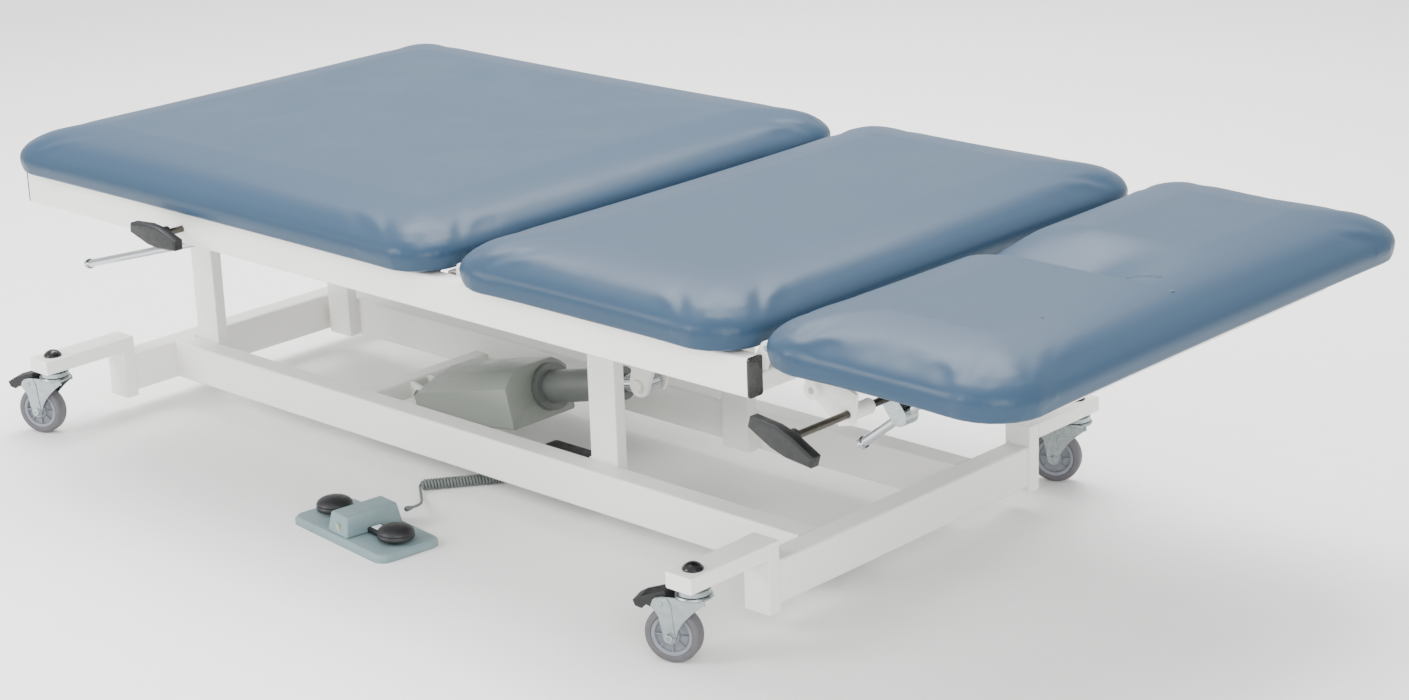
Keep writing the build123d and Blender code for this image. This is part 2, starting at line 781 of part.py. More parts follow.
hinge_arm_y = rail_inner_y - hinge_ear_thickness - 2.0 - hinge_ear_thickness / 2
with BuildPart() as top_pins:
    with BuildSketch(side_plane(0)):
        with Locations((foot_gap_x, hinge_height), (head_gap_x, hinge_height)):
            Circle(hinge_pin_radius)
    extrude(amount=rail_inner_y, both=True)
    with BuildSketch(side_plane(0)):
        with Locations((foot_gap_x, hinge_height), (head_gap_x, hinge_height)):
            Circle(hinge_pin_radius * 2)
    extrude(amount=hinge_arm_y - hinge_ear_thickness / 2 - 6, both=True, mode=Mode.SUBTRACT)
    with BuildSketch(side_plane(0)):
        with Locations((upper_pivot_foot_x, pivot_height), (upper_pivot_head_x, pivot_height)):
            Circle(pivot_pin_radius)
    extrude(amount=hanger_y + hanger_thickness / 2 + 5, both=True)
    with BuildSketch(side_plane(0)):
        with Locations((upper_pivot_foot_x, pivot_height), (upper_pivot_head_x, pivot_height)):
            Circle(pivot_pin_radius + 1)
    extrude(amount=arm_inner_y - 14, both=True, mode=Mode.SUBTRACT)
save(top_pins.part, "top_pins")

# Plates below the head hinge that carry the locking shaft, with the shaft's guide tube.
plate_front = head_hanger_x + cross_tube / 2
with BuildPart() as head_lock_plates:
    for side in (-1, 1):
        with BuildSketch(side_plane(side * head_plate_y)):
            with BuildLine():
                Polyline(
                    (plate_front, cross_bottom + 1), (plate_front, cross_bottom + cross_tube - 1),
                    (head_gap_x, cross_bottom + 18), (head_lock_x + 14, head_lock_height + 28),
                    (head_lock_x + 10, head_lock_height - 12), (head_lock_x - 14, head_lock_height - 18),
                    (head_gap_x + 10, head_lock_height + 8), close=True,
                )
            make_face()
            with Locations((head_lock_x, head_lock_height)):
                Circle(lock_shaft_radius + 2 * running_clearance, mode=Mode.SUBTRACT)
        extrude(amount=head_plate_thickness / 2, both=True)
    guide_start = -head_plate_y + head_plate_thickness / 2
    with BuildSketch(side_plane(guide_start, head_lock_x, head_lock_height)):
        Circle(lock_shaft_radius + 5)
        Circle(lock_shaft_radius + 2 * running_clearance, mode=Mode.SUBTRACT)
    extrude(amount=-36)
    for side in (-1, 1):
        boss_y = side * (head_plate_y + head_plate_thickness / 2 + 4)
        with BuildSketch(side_plane(boss_y, head_gap_x + 10, head_lock_height + 22)):
            Circle(12)
            RegularPolygon(5, 6, mode=Mode.SUBTRACT)
        extrude(amount=4, both=True)
save(head_lock_plates.part, "head_lock_plates")


# ---------------------------------------------------------------- boards and cushions
def cushion_outline(start, end, inset):
    """Rounded plan of one section, drawn in the open sketch."""
    with Locations(((start + end) / 2, 0)):
        RectangleRounded(end - start - 2 * inset, table_width - 2 * inset, cushion_corner - inset)


def board(start, end, bottom):
    """Plywood board inside the underside of one cushion."""
    with BuildPart() as panel:
        with BuildSketch(Plane.XY.offset(bottom)):
            cushion_outline(start, end, board_inset)
        extrude(amount=board_top - bottom)
    return panel.part


def cushion(start, end):
    """Foam and cover of one section, with a pocket for its board."""
    with BuildPart() as pad:
        with BuildSketch(Plane.XY.offset(cushion_bottom)):
            cushion_outline(start, end, 0)
        extrude(amount=cushion_thickness)
        fillet(pad.faces().sort_by(Axis.Z)[-1].edges(), cushion_top_edge)
        fillet(pad.faces().sort_by(Axis.Z)[0].edges(), cushion_bottom_edge)
        with BuildSketch(Plane.XY.offset(cushion_bottom)):
            cushion_outline(start, end, board_inset - board_pocket_clearance)
        extrude(amount=board_top + board_pocket_clearance - cushion_bottom, mode=Mode.SUBTRACT)
    return pad.part


foot_span = (foot_end, foot_gap_x - foot_gap_half)
mid_span = (foot_gap_x + foot_gap_half, head_gap_x - head_gap_half)
head_span = (head_gap_x + head_gap_half, head_end)
save(cushion(*foot_span), "foot_cushion")
save(cushion(*mid_span), "mid_cushion")
save(board(*foot_span, board_bottom), "foot_board")
save(board(*mid_span, top_frame_top), "mid_board")
save(board(*head_span, board_bottom), "head_board")

# The head cushion has a shallow face hollow that runs out at the hinge edge.
plain_head_cushion = cushion(*head_span)
with BuildPart() as head_cushion:
    add(plain_head_cushion)
    with BuildSketch(Plane.XY.offset(cushion_top - face_opening_depth)):
        with Locations((head_span[0] + face_opening_length / 2 - face_opening_overrun, 0)):
            SlotOverall(face_opening_length, face_opening_width)
    extrude(amount=2 * face_opening_depth, taper=-face_opening_slope, mode=Mode.SUBTRACT)
save(head_cushion.part, "head_cushion")


# ---------------------------------------------------------------- hinged section frames
def rod_bracket(eye_x, eye_y, eye_z):
    """Plate under the board with two ears beside the support rod's eye and a bolt head on each."""
    ear_inner = eye_thickness / 2 + eye_side_relief
    with BuildPart() as bracket:
        with BuildSketch(Plane.XY.offset(board_bottom)):
            with Locations((eye_x, eye_y)):
                RectangleRounded(46, 46, 4)
        extrude(amount=-3)
        for side in (-1, 1):
            with BuildSketch(side_plane(eye_y + side * (ear_inner + 2))):
                with Locations((eye_x, eye_z)):
                    Circle(9)
                with Locations((eye_x, board_bottom - 3)):
                    Rectangle(26, 2)
                make_hull()
            extrude(amount=2, both=True)
            with BuildSketch(side_plane(eye_y + side * (ear_inner + 6), eye_x, eye_z)):
                RegularPolygon(7, 6)
            extrude(amount=2, both=True)
    return bracket.part


def section_frame(gap_x, far_x, half_width, bracket, middle_bar):
    """Welded frame under a hinged board, with two hinge arms that reach the gap."""
    inward = 1 if far_x > gap_x else -1
    hinge_bar_x = gap_x + inward * 24
    tube_z = board_bottom - section_tube / 2
    middle_x = (far_x + hinge_bar_x) / 2
    length = abs(far_x - hinge_bar_x) - section_tube
    side_middles = [(middle_x, side * half_width, tube_z) for side in (-1, 1)]
    bars = [square_tube("X", middle, length, section_tube, section_tube) for middle in side_middles]
    hinge_reach = hinge_arm_y + hinge_ear_thickness / 2
    cross_bars = [(hinge_bar_x, hinge_reach), (far_x, half_width + section_tube / 2)]
    if middle_bar:
        cross_bars.append((middle_x, half_width - section_tube / 2))
    for x, reach in cross_bars:
        bars.append(square_tube("Y", (x, 0, tube_z), 2 * reach, section_tube, section_tube))
    with BuildPart() as frame:
        add(bars)
        add(bracket)
        for side in (-1, 1):
            with BuildSketch(side_plane(side * hinge_arm_y)):
                with Locations((gap_x, hinge_height)):
                    Circle(hinge_ear_radius)
                with Locations((hinge_bar_x - inward * (section_tube / 2 + 1), tube_z)):
                    Rectangle(2, section_tube - 2)
                make_hull()
            extrude(amount=hinge_ear_thickness / 2, both=True)
        with BuildSketch(side_plane(0)):
            with Locations((gap_x, hinge_height)):
                Circle(hinge_pin_radius + running_clearance)
        extrude(amount=table_width / 2, both=True, mode=Mode.SUBTRACT)
    return frame.part


foot_bracket = rod_bracket(foot_eye_x, foot_rod_y, foot_eye_height)
head_bracket = rod_bracket(head_eye_x, head_rod_y, head_eye_height)
foot_frame = section_frame(foot_gap_x, foot_end + 60, foot_frame_half, foot_bracket, True)
head_frame = section_frame(head_gap_x, head_end - 60, head_frame_half, head_bracket, False)
save(foot_frame, "foot_section_frame")
save(head_frame, "head_section_frame")


# ---------------------------------------------------------------- support rods, clamps and locking handles
def support_rod(lock, eye, rod_y, length):
    """Rod that slides through its clamp, with an eye at the section and a stop head below."""
    tilt = support_angle(lock, eye)
    back = Plane(
        origin=(eye[0], rod_y, eye[1]),
        x_dir=(0, 1, 0),
        z_dir=(-cos(radians(tilt)), 0, -sin(radians(tilt))),
    )
    with BuildPart() as rod:
        with BuildSketch(back.offset(eye_radius / 2)):
            Circle(support_rod_radius)
        extrude(amount=length - eye_radius / 2)
        with BuildSketch(back.offset(length - 5)):
            Circle(support_rod_head_radius)
        extrude(amount=5)
        with BuildSketch(side_plane(rod_y, eye[0], eye[1])):
            Circle(eye_radius)
        extrude(amount=eye_thickness / 2, both=True)
        with BuildSketch(side_plane(rod_y, eye[0], eye[1])):
            Circle(eye_radius / 2)
        extrude(amount=eye_thickness, both=True, mode=Mode.SUBTRACT)
    return rod.part


def rod_clamp(lock, eye, rod_y):
    """Block that swivels on the locking shaft and grips the support rod below it."""
    tilt = support_angle(lock, eye)
    drop = (rod_drop * sin(radians(tilt)), -rod_drop * cos(radians(tilt)))
    bore = Plane(
        origin=(lock[0] + drop[0], rod_y, lock[1] + drop[1]),
        x_dir=(0, 1, 0),
        z_dir=(cos(radians(tilt)), 0, sin(radians(tilt))),
    )
    with BuildPart() as clamp:
        with BuildSketch(side_plane(rod_y)):
            with Locations(lock, (lock[0] + drop[0], lock[1] + drop[1])):
                Circle(clamp_radius)
            make_hull()
            with Locations(lock):
                Circle(lock_shaft_radius + running_clearance, mode=Mode.SUBTRACT)
        extrude(amount=clamp_thickness / 2, both=True)
        with BuildSketch(bore):
            Circle(support_rod_radius + running_clearance)
        extrude(amount=2 * clamp_radius, both=True, mode=Mode.SUBTRACT)
    return clamp.part


def lock_shaft(lock, handle_y, rod_y):
    """Threaded shaft from the handle's hub to the far face of the clamp."""
    start = handle_y + handle_thickness / 2
    stop = rod_y + clamp_thickness / 2 + 4
    return round_bar(side_plane((start + stop) / 2, lock[0], lock[1]), stop - start, lock_shaft_radius)


def lock_handle(lock, handle_y, turn):
    """Two-winged handle with a hub that takes the end of the shaft."""
    with BuildPart() as handle:
        with BuildSketch(side_plane(handle_y, lock[0], lock[1], turn)):
            with BuildLine():
                Polyline(
                    (-handle_length / 2, -handle_end_height / 2), (-12, -handle_height / 2),
                    (12, -handle_height / 2), (handle_length / 2, -handle_end_height / 2),
                    (handle_length / 2, handle_end_height / 2), (12, handle_height / 2),
                    (-12, handle_height / 2), (-handle_length / 2, handle_end_height / 2), close=True,
                )
            make_face()
        extrude(amount=handle_thickness / 2, both=True)
        chamfer(handle.faces().sort_by(Axis.Y)[0].edges(), 3)
        with BuildSketch(side_plane(handle_y + handle_thickness / 2, lock[0], lock[1])):
            Circle(handle_hub_radius)
            Circle(lock_shaft_radius, mode=Mode.SUBTRACT)
        extrude(amount=-handle_hub_length)
    return handle.part


foot_lock, foot_eye = (foot_lock_x, foot_lock_height), (foot_eye_x, foot_eye_height)
head_lock, head_eye = (head_lock_x, head_lock_height), (head_eye_x, head_eye_height)
save(support_rod(foot_lock, foot_eye, foot_rod_y, foot_rod_length), "foot_support_rod")
save(support_rod(head_lock, head_eye, head_rod_y, head_rod_length), "head_support_rod")
save(rod_clamp(foot_lock, foot_eye, foot_rod_y), "foot_rod_clamp")
save(rod_clamp(head_lock, head_eye, head_rod_y), "head_rod_clamp")
save(lock_shaft(foot_lock, foot_handle_y, foot_rod_y), "foot_lock_shaft")
save(lock_shaft(head_lock, head_handle_y, head_rod_y), "head_lock_shaft")
save(lock_handle(foot_lock, foot_handle_y, -6), "foot_lock_handle")
save(lock_handle(head_lock, head_handle_y, -17), "head_lock_handle")

# ---------------------------------------------------------------- foot control
pedal_place = Location((pedal_x, pedal_y, 0), (0, 0, pedal_turn))
button_spots = [(-button_spacing / 2, 0), (button_spacing / 2, 0)]
button_well_depth = button_stem_length - button_clearance + button_floor_gap
with BuildPart() as pedal_plate_model:
    with BuildSketch(Plane.XY):
        RectangleRounded(pedal_length, pedal_depth, 18)
    extrude(amount=pedal_plate)
    chamfer(pedal_plate_model.faces().sort_by(Axis.Z)[-1].edges(), 4)
    with BuildSketch(Plane.XY.offset(pedal_plate)):
        with Locations(*button_spots):
            Circle(button_stem_radius + 4 * running_clearance)
    extrude(amount=-button_well_depth, mode=Mode.SUBTRACT)
save(pedal_plate_model.part.moved(pedal_place), "pedal_base")

with BuildPart() as pedal_hump:
    with BuildSketch(Plane.XY.offset(pedal_plate)):
        Rectangle(pedal_hump_width, pedal_depth - 10)
    extrude(amount=pedal_hump_height, taper=10)
    fillet(pedal_hump.faces().sort_by(Axis.Z)[-1].edges(), 4)
save(pedal_hump.part.moved(pedal_place), "pedal_cover")

dome_bottom = pedal_plate + button_travel + button_clearance
dome_edge = dome_bottom + button_edge
stem_bottom = dome_bottom - button_stem_length
for name, spot in zip(("pedal_down_button", "pedal_up_button"), button_spots):
    with BuildPart() as button:
        with BuildSketch(Plane.XZ):
            with BuildLine():
                Polyline(
                    (0, dome_bottom + button_height), (0, stem_bottom), (button_stem_radius, stem_bottom),
                    (button_stem_radius, dome_bottom), (button_radius, dome_bottom),
                    (button_radius, dome_edge),
                )
                dome(button_radius, dome_edge, button_height - button_edge)
            make_face()
        revolve(axis=Axis.Z)
    save(button.part.moved(Location((spot[0], spot[1], 0))).moved(pedal_place), name)

# ---------------------------------------------------------------- control box and the pedal's cord
box_y = -(base_inner_y - box_depth / 2)
box_mid = (box_start_x + box_length / 2, box_y, box_bottom + box_height / 2)
with BuildPart() as control_box:
    with Locations(box_mid):
        Box(box_length, box_depth, box_height)
    fillet(control_box.edges().filter_by(Axis.Z), 4)
    # Mains inlet in the head end of the box
    with BuildSketch(Plane.YZ.offset(box_start_x + box_length)):
        with Locations((box_mid[1], box_mid[2])):
            RectangleRounded(inlet_width, inlet_height, 3)
    extrude(amount=-inlet_depth, mode=Mode.SUBTRACT)
save(control_box.part, "control_box")

coil_way = (cos(radians(coil_heading)), sin(radians(coil_heading)))
coil_start = (-269.0, -216.0, coil_radius)
coil_end = (coil_start[0] + coil_length * coil_way[0], coil_start[1] + coil_length * coil_way[1], coil_radius)
# The lead meets the coil from the side, just in front of its end face
lead_setback = cord_radius + 0.1
lead_end = (
    coil_start[0] - lead_setback * coil_way[0], coil_start[1] - lead_setback * coil_way[1], coil_radius
)
coil_lead_out = (coil_end[0] + 23 * coil_way[0], coil_end[1] + 23 * coil_way[1], coil_radius)
lead_points = [
    (-185.0, -308.0, 22.0), (-197.0, -286.0, 15.0), (-219.0, -259.0, 6.0), (-251.0, -233.0, 2.6), lead_end,
]
riser_end = (box_start_x - relief_length, -126.0, 55.0)
riser_points = [
    coil_end, coil_lead_out, (-159.0, -91.0, 24.0), (-139.0, -105.0, 43.0), (-129.0, -126.0, 55.0), riser_end,
]


def cord_tube(points):
    """Tube along straight runs joined by tangent arcs as large as the runs allow."""
    runs = [Vector(*b) - Vector(*a) for a, b in zip(points, points[1:])]
    radii = []
    for before, after in zip(runs, runs[1:]):
        half_turn = radians(before.get_angle(after)) / 2
        radii.append(0.45 * min(before.length, after.length) * cos(half_turn) / sin(half_turn))
    print("cord arc radii", [round(radius, 1) for radius in radii])
    with BuildPart() as tube:
        with BuildLine() as path:
            FilletPolyline(*points, radius=radii)
        with BuildSketch(Plane(origin=points[0], z_dir=runs[0])):
            Circle(cord_radius)
        sweep()
    length = path.wires()[0].length
    volume_ratio = tube.part.volume / (length * pi * cord_radius**2)
    print("cord run", round(length, 1), "volume ratio", round(volume_ratio, 4))
    return tube.part


lead_tube, riser_tube = cord_tube(lead_points), cord_tube(riser_points)
with BuildPart() as pedal_cord:
    add(lead_tube)
    add(riser_tube)
save(pedal_cord.part, "pedal_cord")

coil_plane = Plane(origin=coil_start, z_dir=(coil_way[0], coil_way[1], 0))
with BuildPart() as cord_coil:
    with BuildSketch(coil_plane):
        Circle(coil_radius)
    extrude(amount=coil_length)
save(cord_coil.part, "cord_coil")

# Tapered sleeves where the cord leaves the pedal and enters the box.
lead_way = Vector(*lead_points[1]) - Vector(*lead_points[0])
riser_way = Vector(*riser_points[-1]) - Vector(*riser_points[-2])
with BuildPart() as cord_sleeves:
    for tip, way in ((lead_points[0], lead_way * -1), (riser_points[-1], riser_way)):
        sleeve = Plane(origin=tip, z_dir=way)
        with BuildSketch(sleeve):
            Circle(cord_radius + 0.6)
        with BuildSketch(sleeve.offset(relief_length)):
            Circle(relief_radius)
        loft()
save(cord_sleeves.part, "cord_sleeves")
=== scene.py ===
"""Looks of a three-section treatment table with a lift base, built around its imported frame.

Every length is in metres, +Z up, +X towards the head end. Places are read from the frame, and each
finished piece sits at the origin with its place in its mesh.
"""
import json
import logging
import math
from dataclasses import dataclass

import bmesh
import bpy
from mathutils import Matrix, Vector
from mathutils.bvhtree import BVHTree


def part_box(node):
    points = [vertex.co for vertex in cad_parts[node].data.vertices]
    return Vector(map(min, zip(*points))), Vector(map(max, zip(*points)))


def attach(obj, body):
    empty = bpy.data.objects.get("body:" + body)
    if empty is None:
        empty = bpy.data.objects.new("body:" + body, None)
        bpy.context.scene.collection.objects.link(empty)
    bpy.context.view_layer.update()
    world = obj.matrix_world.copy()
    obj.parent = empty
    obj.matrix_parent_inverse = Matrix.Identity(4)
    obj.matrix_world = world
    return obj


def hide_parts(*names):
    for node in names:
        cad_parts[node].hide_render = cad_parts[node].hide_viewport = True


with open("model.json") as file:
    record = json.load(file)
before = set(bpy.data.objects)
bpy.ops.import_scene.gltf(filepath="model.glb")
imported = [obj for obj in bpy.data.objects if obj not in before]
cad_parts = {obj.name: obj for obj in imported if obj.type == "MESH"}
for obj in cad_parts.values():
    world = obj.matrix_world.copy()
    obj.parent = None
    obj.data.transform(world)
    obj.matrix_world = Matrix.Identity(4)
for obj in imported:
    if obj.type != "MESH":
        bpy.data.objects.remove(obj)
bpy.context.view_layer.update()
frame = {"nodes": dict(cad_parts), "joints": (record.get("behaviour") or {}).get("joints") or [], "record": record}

MM = 0.001
# Points nearer than this are one point.
MERGE = 1e-6
LOG = logging.getLogger("table")
Point = tuple[float, float, float]


# ---------------------------------------------------------------- helpers
def linear(code: str) -> tuple[float, float, float, float]:
    """Turn an sRGB hex colour into linear values.

    Args:
        code: Six hex digits after a #.

    Returns:
        Linear red, green and blue, and an alpha of 1.
    """
    parts = [int(code[i:i + 2], 16) / 255 for i in (1, 3, 5)]
    values = [c / 12.92 if c <= 0.04045 else ((c + 0.055) / 1.055) ** 2.4 for c in parts]
    return (*values, 1.0)


def add_node(tree: bpy.types.NodeTree, kind: str, settings: dict | None = None, **links) -> bpy.types.Node:
    """Add a node, set its properties and sockets, and link its inputs.

    Args:
        tree: The node tree that gets the node.
        kind: The node's type name.
        settings: Property names or input sockets, by name or number, with their values.
        **links: Input sockets, with underscores for spaces, and the output that feeds each one.

    Returns:
        The new node.
    """
    node = tree.nodes.new(kind)
    for key, value in (settings or {}).items():
        if isinstance(key, str) and hasattr(node, key):
            setattr(node, key, value)
        else:
            node.inputs[key].default_value = value
    for key, output in links.items():
        socket = int(key[1:]) if key[1:].isdigit() and key[0] == "i" else key.replace("_", " ")
        tree.links.new(output, node.inputs[socket])
    return node


def new_piece(name: str, mesh: bpy.types.Mesh, smooth: bool = True) -> bpy.types.Object:
    """Make an object at the origin from a mesh whose vertices hold its place.

    Args:
        name: The piece's name.
        mesh: Its mesh, in its real place.
        smooth: Whether its faces are shaded smooth.

    Returns:
        The new piece.
    """
    mesh.polygons.foreach_set("use_smooth", [smooth] * len(mesh.polygons))
    piece = bpy.data.objects.new(name, mesh)
    bpy.context.scene.collection.objects.link(piece)
    return piece


def piece_from(name: str, bm: bmesh.types.BMesh, smooth: bool = True) -> bpy.types.Object:
    """Close a bmesh into a piece with its doubles merged and its faces outward.

    Args:
        name: The piece's name.
        bm: Its faces. The bmesh is freed.
        smooth: Whether its faces are shaded smooth.

    Returns:
        The new piece.
    """
    bmesh.ops.remove_doubles(bm, verts=bm.verts, dist=MERGE)
    bmesh.ops.recalc_face_normals(bm, faces=bm.faces)
    mesh = bpy.data.meshes.new(name)
    bm.to_mesh(mesh)
    bm.free()
    return new_piece(name, mesh, smooth)


def round_edges(piece: bpy.types.Object, radius: float, segments: int = 2) -> None:
    """Round a piece's sharp edges with a live bevel.

    Args:
        piece: The piece to finish.
        radius: The bevel's width.
        segments: How many faces go round each edge.
    """
    bevel = piece.modifiers.new("rounded", "BEVEL")
    bevel.width = radius
    bevel.segments = segments
    bevel.limit_method = "ANGLE"
    bevel.angle_limit = math.radians(32)
    bevel.harden_normals = True


def dress(piece: bpy.types.Object, finish: "Finish", body: str, slot: str, *nodes: str) -> bpy.types.Object:
    """Give a new piece its material and body, and hide the CAD nodes that it stands for.

    Args:
        piece: The piece to dress.
        finish: What it is made of.
        body: The body that it rides on.
        slot: The record's material slot. It is not used.
        *nodes: The CAD nodes that it replaces, if any.

    Returns:
        The same piece.
    """
    piece.data.materials.clear()
    piece.data.materials.append(finish.material())
    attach(piece, body)
    if nodes:
        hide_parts(*nodes)
    LOG.info("%s rides on %s", piece.name, body)
    return piece


def body_of(node: str) -> str:
    """Name of the body that holds a CAD node."""
    return next(b for b, nodes in frame["record"]["behaviour"]["bodies"].items() if node in nodes)


def joint(name: str) -> dict:
    """The record's joint of that name."""
    return next(j for j in frame["joints"] if j["name"] == name)


def softened(node: str, finish: "Finish", slot: str, radius: float) -> bpy.types.Object:
    """Stand a copy with merged faces and rounded edges in for a CAD node.

    Args:
        node: The CAD node to copy.
        finish: What the copy is made of.
        slot: The record's material slot.
        radius: How far its sharp edges are rounded.

    Returns:
        The new piece.
    """
    bm = bmesh.new()
    bm.from_mesh(frame["nodes"][node].data)
    bmesh.ops.remove_doubles(bm, verts=bm.verts, dist=2e-5)
    bmesh.ops.dissolve_limit(
        bm, angle_limit=math.radians(1.5), verts=bm.verts, edges=bm.edges, delimit={"NORMAL"}
    )
    mesh = bpy.data.meshes.new(node + "_soft")
    bm.to_mesh(mesh)
    bm.free()
    piece = new_piece(node + "_soft", mesh)
    round_edges(piece, radius)
    return dress(piece, finish, body_of(node), slot, node)


def spin(bm: bmesh.types.BMesh, profile: list[tuple[float, float]], place: Matrix, steps: int = 40) -> None:
    """Turn a profile of radius and height about Z, close its poles, and put it in place.

    Args:
        bm: The bmesh that gets the faces.
        profile: Radius and height of each ring.
        place: Where the form's own frame stands.
        steps: How many points go round each ring.
    """
    rings = []
    for radius, height in profile:
        if radius < MERGE:
            rings.append([bm.verts.new(place @ Vector((0, 0, height)))])
            continue
        ring = []
        for k in range(steps):
            turn = 2 * math.pi * k / steps
            spot = Vector((radius * math.cos(turn), radius * math.sin(turn), height))
            ring.append(bm.verts.new(place @ spot))
        rings.append(ring)
    for low, high in zip(rings, rings[1:]):
        for k in range(steps):
            n = (k + 1) % steps
            corners = [low[k % len(low)], low[n % len(low)], high[n % len(high)], high[k % len(high)]]
            unique = list(dict.fromkeys(corners))
            if len(unique) > 2:
                bm.faces.new(unique)


def slab(bm: bmesh.types.BMesh, outline: list[Point], depth: Vector) -> None:
    """Extrude a flat outline along a vector into a closed slab.

    Args:
        bm: The bmesh that gets the faces.
        outline: Its corners, in order.
        depth: The vector from its front to its back.
    """
    front = [bm.verts.new(p) for p in outline]
    back = [bm.verts.new(Vector(p) + depth) for p in outline]
    bm.faces.new(front)
    bm.faces.new(back[::-1])
    for k in range(len(front)):
        n = (k + 1) % len(front)
        bm.faces.new((front[k], back[k], back[n], front[n]))


# ---------------------------------------------------------------- finishes
@dataclass(frozen=True)
class Finish:
    """A material with a fine grain in its surface, slow tone changes and worn edges.

    Grain, blotch and wear sizes are real ones in millimetres.
    """

    name: str
    colour: str
    roughness: float
    metallic: float = 0.0
    grain_mm: float = 1.0
    grain_height_mm: float = 0.01
    blotch_mm: float = 60.0
    blotch: float = 0.06
    roughness_spread: float = 0.08
    coat: float = 0.0
    sheen: float = 0.0
    specular: float = 0.5
    wear_mm: float = 0.0
    wear_colour: str = "#8f8f8c"
    cells: bool = False

    def material(self) -> bpy.types.Material:
        """The shared material of this finish, built on first use.

        Returns:
            The material.
        """
        known = bpy.data.materials.get(self.name)
        if known:
            return known
        material = bpy.data.materials.new(self.name)
        material.use_nodes = True
        tree = material.node_tree
        tree.nodes.clear()
        place = add_node(tree, "ShaderNodeTexCoord").outputs["Object"]
        colour = self.tone(tree, place)
        rough = self.rough(tree, place)
        bump = self.grain(tree, place)
        shader = add_node(
            tree, "ShaderNodeBsdfPrincipled",
            {"Metallic": self.metallic, "Coat Weight": self.coat, "Coat Roughness": 0.2,
             "Sheen Weight": self.sheen, "Sheen Roughness": 0.4, "Specular IOR Level": self.specular},
            Base_Color=colour, Roughness=rough, Normal=bump,
        )
        add_node(tree, "ShaderNodeOutputMaterial", Surface=shader.outputs[0])
        return material

    def tone(self, tree: bpy.types.NodeTree, place: bpy.types.NodeSocket) -> bpy.types.NodeSocket:
        """Base colour with slow blotches and, where asked for, worn edges.

        Args:
            tree: The material's node tree.
            place: The Object coordinates.

        Returns:
            The colour.
        """
        noise = add_node(
            tree, "ShaderNodeTexNoise", {"Scale": 1 / (self.blotch_mm * MM), "Detail": 4.0}, Vector=place
        )
        base = linear(self.colour)
        ramp = add_node(tree, "ShaderNodeValToRGB", Fac=noise.outputs["Fac"])
        ramp.color_ramp.elements[0].position = 0.3
        ramp.color_ramp.elements[1].position = 0.7
        ramp.color_ramp.elements[0].color = (*[c * (1 - self.blotch) for c in base[:3]], 1)
        ramp.color_ramp.elements[1].color = (*[min(1.0, c * (1 + self.blotch)) for c in base[:3]], 1)
        if not self.wear_mm:
            return ramp.outputs["Color"]
        edge = self.edges(tree, place)
        mix = add_node(
            tree, "ShaderNodeMix", {"data_type": "RGBA", 7: linear(self.wear_colour)},
            i0=edge, i6=ramp.outputs["Color"],
        )
        return mix.outputs[2]

    def edges(self, tree: bpy.types.NodeTree, place: bpy.types.NodeSocket) -> bpy.types.NodeSocket:
        """How worn each spot is: only along edges, and only in patches.

        Args:
            tree: The material's node tree.
            place: The Object coordinates.

        Returns:
            Wear from 0 to 1.
        """
        bevel = add_node(tree, "ShaderNodeBevel", {"samples": 4, "Radius": self.wear_mm * MM})
        flat = add_node(tree, "ShaderNodeNewGeometry").outputs["Normal"]
        dot = add_node(
            tree, "ShaderNodeVectorMath", {"operation": "DOT_PRODUCT"}, i0=bevel.outputs[0], i1=flat
        )
        patches = add_node(tree, "ShaderNodeTexNoise", {"Scale": 1 / (25 * MM), "Detail": 5.0}, Vector=place)
        bent = add_node(
            tree, "ShaderNodeMapRange", {"From Min": 0.98, "From Max": 0.85, "To Max": 0.8},
            Value=dot.outputs["Value"],
        )
        part = add_node(
            tree, "ShaderNodeMapRange", {"From Min": 0.55, "From Max": 0.7}, Value=patches.outputs["Fac"]
        )
        both = add_node(
            tree, "ShaderNodeMath", {"operation": "MULTIPLY"}, i0=bent.outputs[0], i1=part.outputs[0]
        )
        return both.outputs[0]

    def rough(self, tree: bpy.types.NodeTree, place: bpy.types.NodeSocket) -> bpy.types.NodeSocket:
        """Roughness that varies a little over hand-sized patches.

        Args:
            tree: The material's node tree.
            place: The Object coordinates.

        Returns:
            The roughness.
        """
        noise = add_node(
            tree, "ShaderNodeTexNoise", {"Scale": 1 / (self.blotch_mm * 0.4 * MM), "Detail": 3.0},
            Vector=place,
        )
        spread = add_node(
            tree, "ShaderNodeMapRange",
            {"From Min": 0.3, "From Max": 0.7, "To Min": max(0.03, self.roughness - self.roughness_spread),
             "To Max": self.roughness + self.roughness_spread},
            Value=noise.outputs["Fac"],
        )
        return spread.outputs[0]

    def grain(self, tree: bpy.types.NodeTree, place: bpy.types.NodeSocket) -> bpy.types.NodeSocket:
        """Surface normal with the finish's fine grain.

        Args:
            tree: The material's node tree.
            place: The Object coordinates.

        Returns:
            The normal.
        """
        if self.cells:
            grain = add_node(
                tree, "ShaderNodeTexVoronoi", {"Scale": 1 / (self.grain_mm * MM), "feature": "SMOOTH_F1"},
                Vector=place,
            ).outputs["Distance"]
        else:
            grain = add_node(
                tree, "ShaderNodeTexNoise", {"Scale": 1 / (self.grain_mm * MM), "Detail": 3.0}, Vector=place
            ).outputs["Fac"]
        bump = add_node(
            tree, "ShaderNodeBump", {"Strength": 0.6, "Distance": self.grain_height_mm * MM}, Height=grain
        )
        return bump.outputs["Normal"]


# Upholstery vinyl, calendered and embossed: a soft even shine with a fine pebbled grain.
VINYL = Finish("upholstery_vinyl_embossed", "#2c4257", 0.38, grain_mm=1.6, grain_height_mm=0.03,
               blotch_mm=260, blotch=0.02, roughness_spread=0.03, specular=0.22, cells=True)
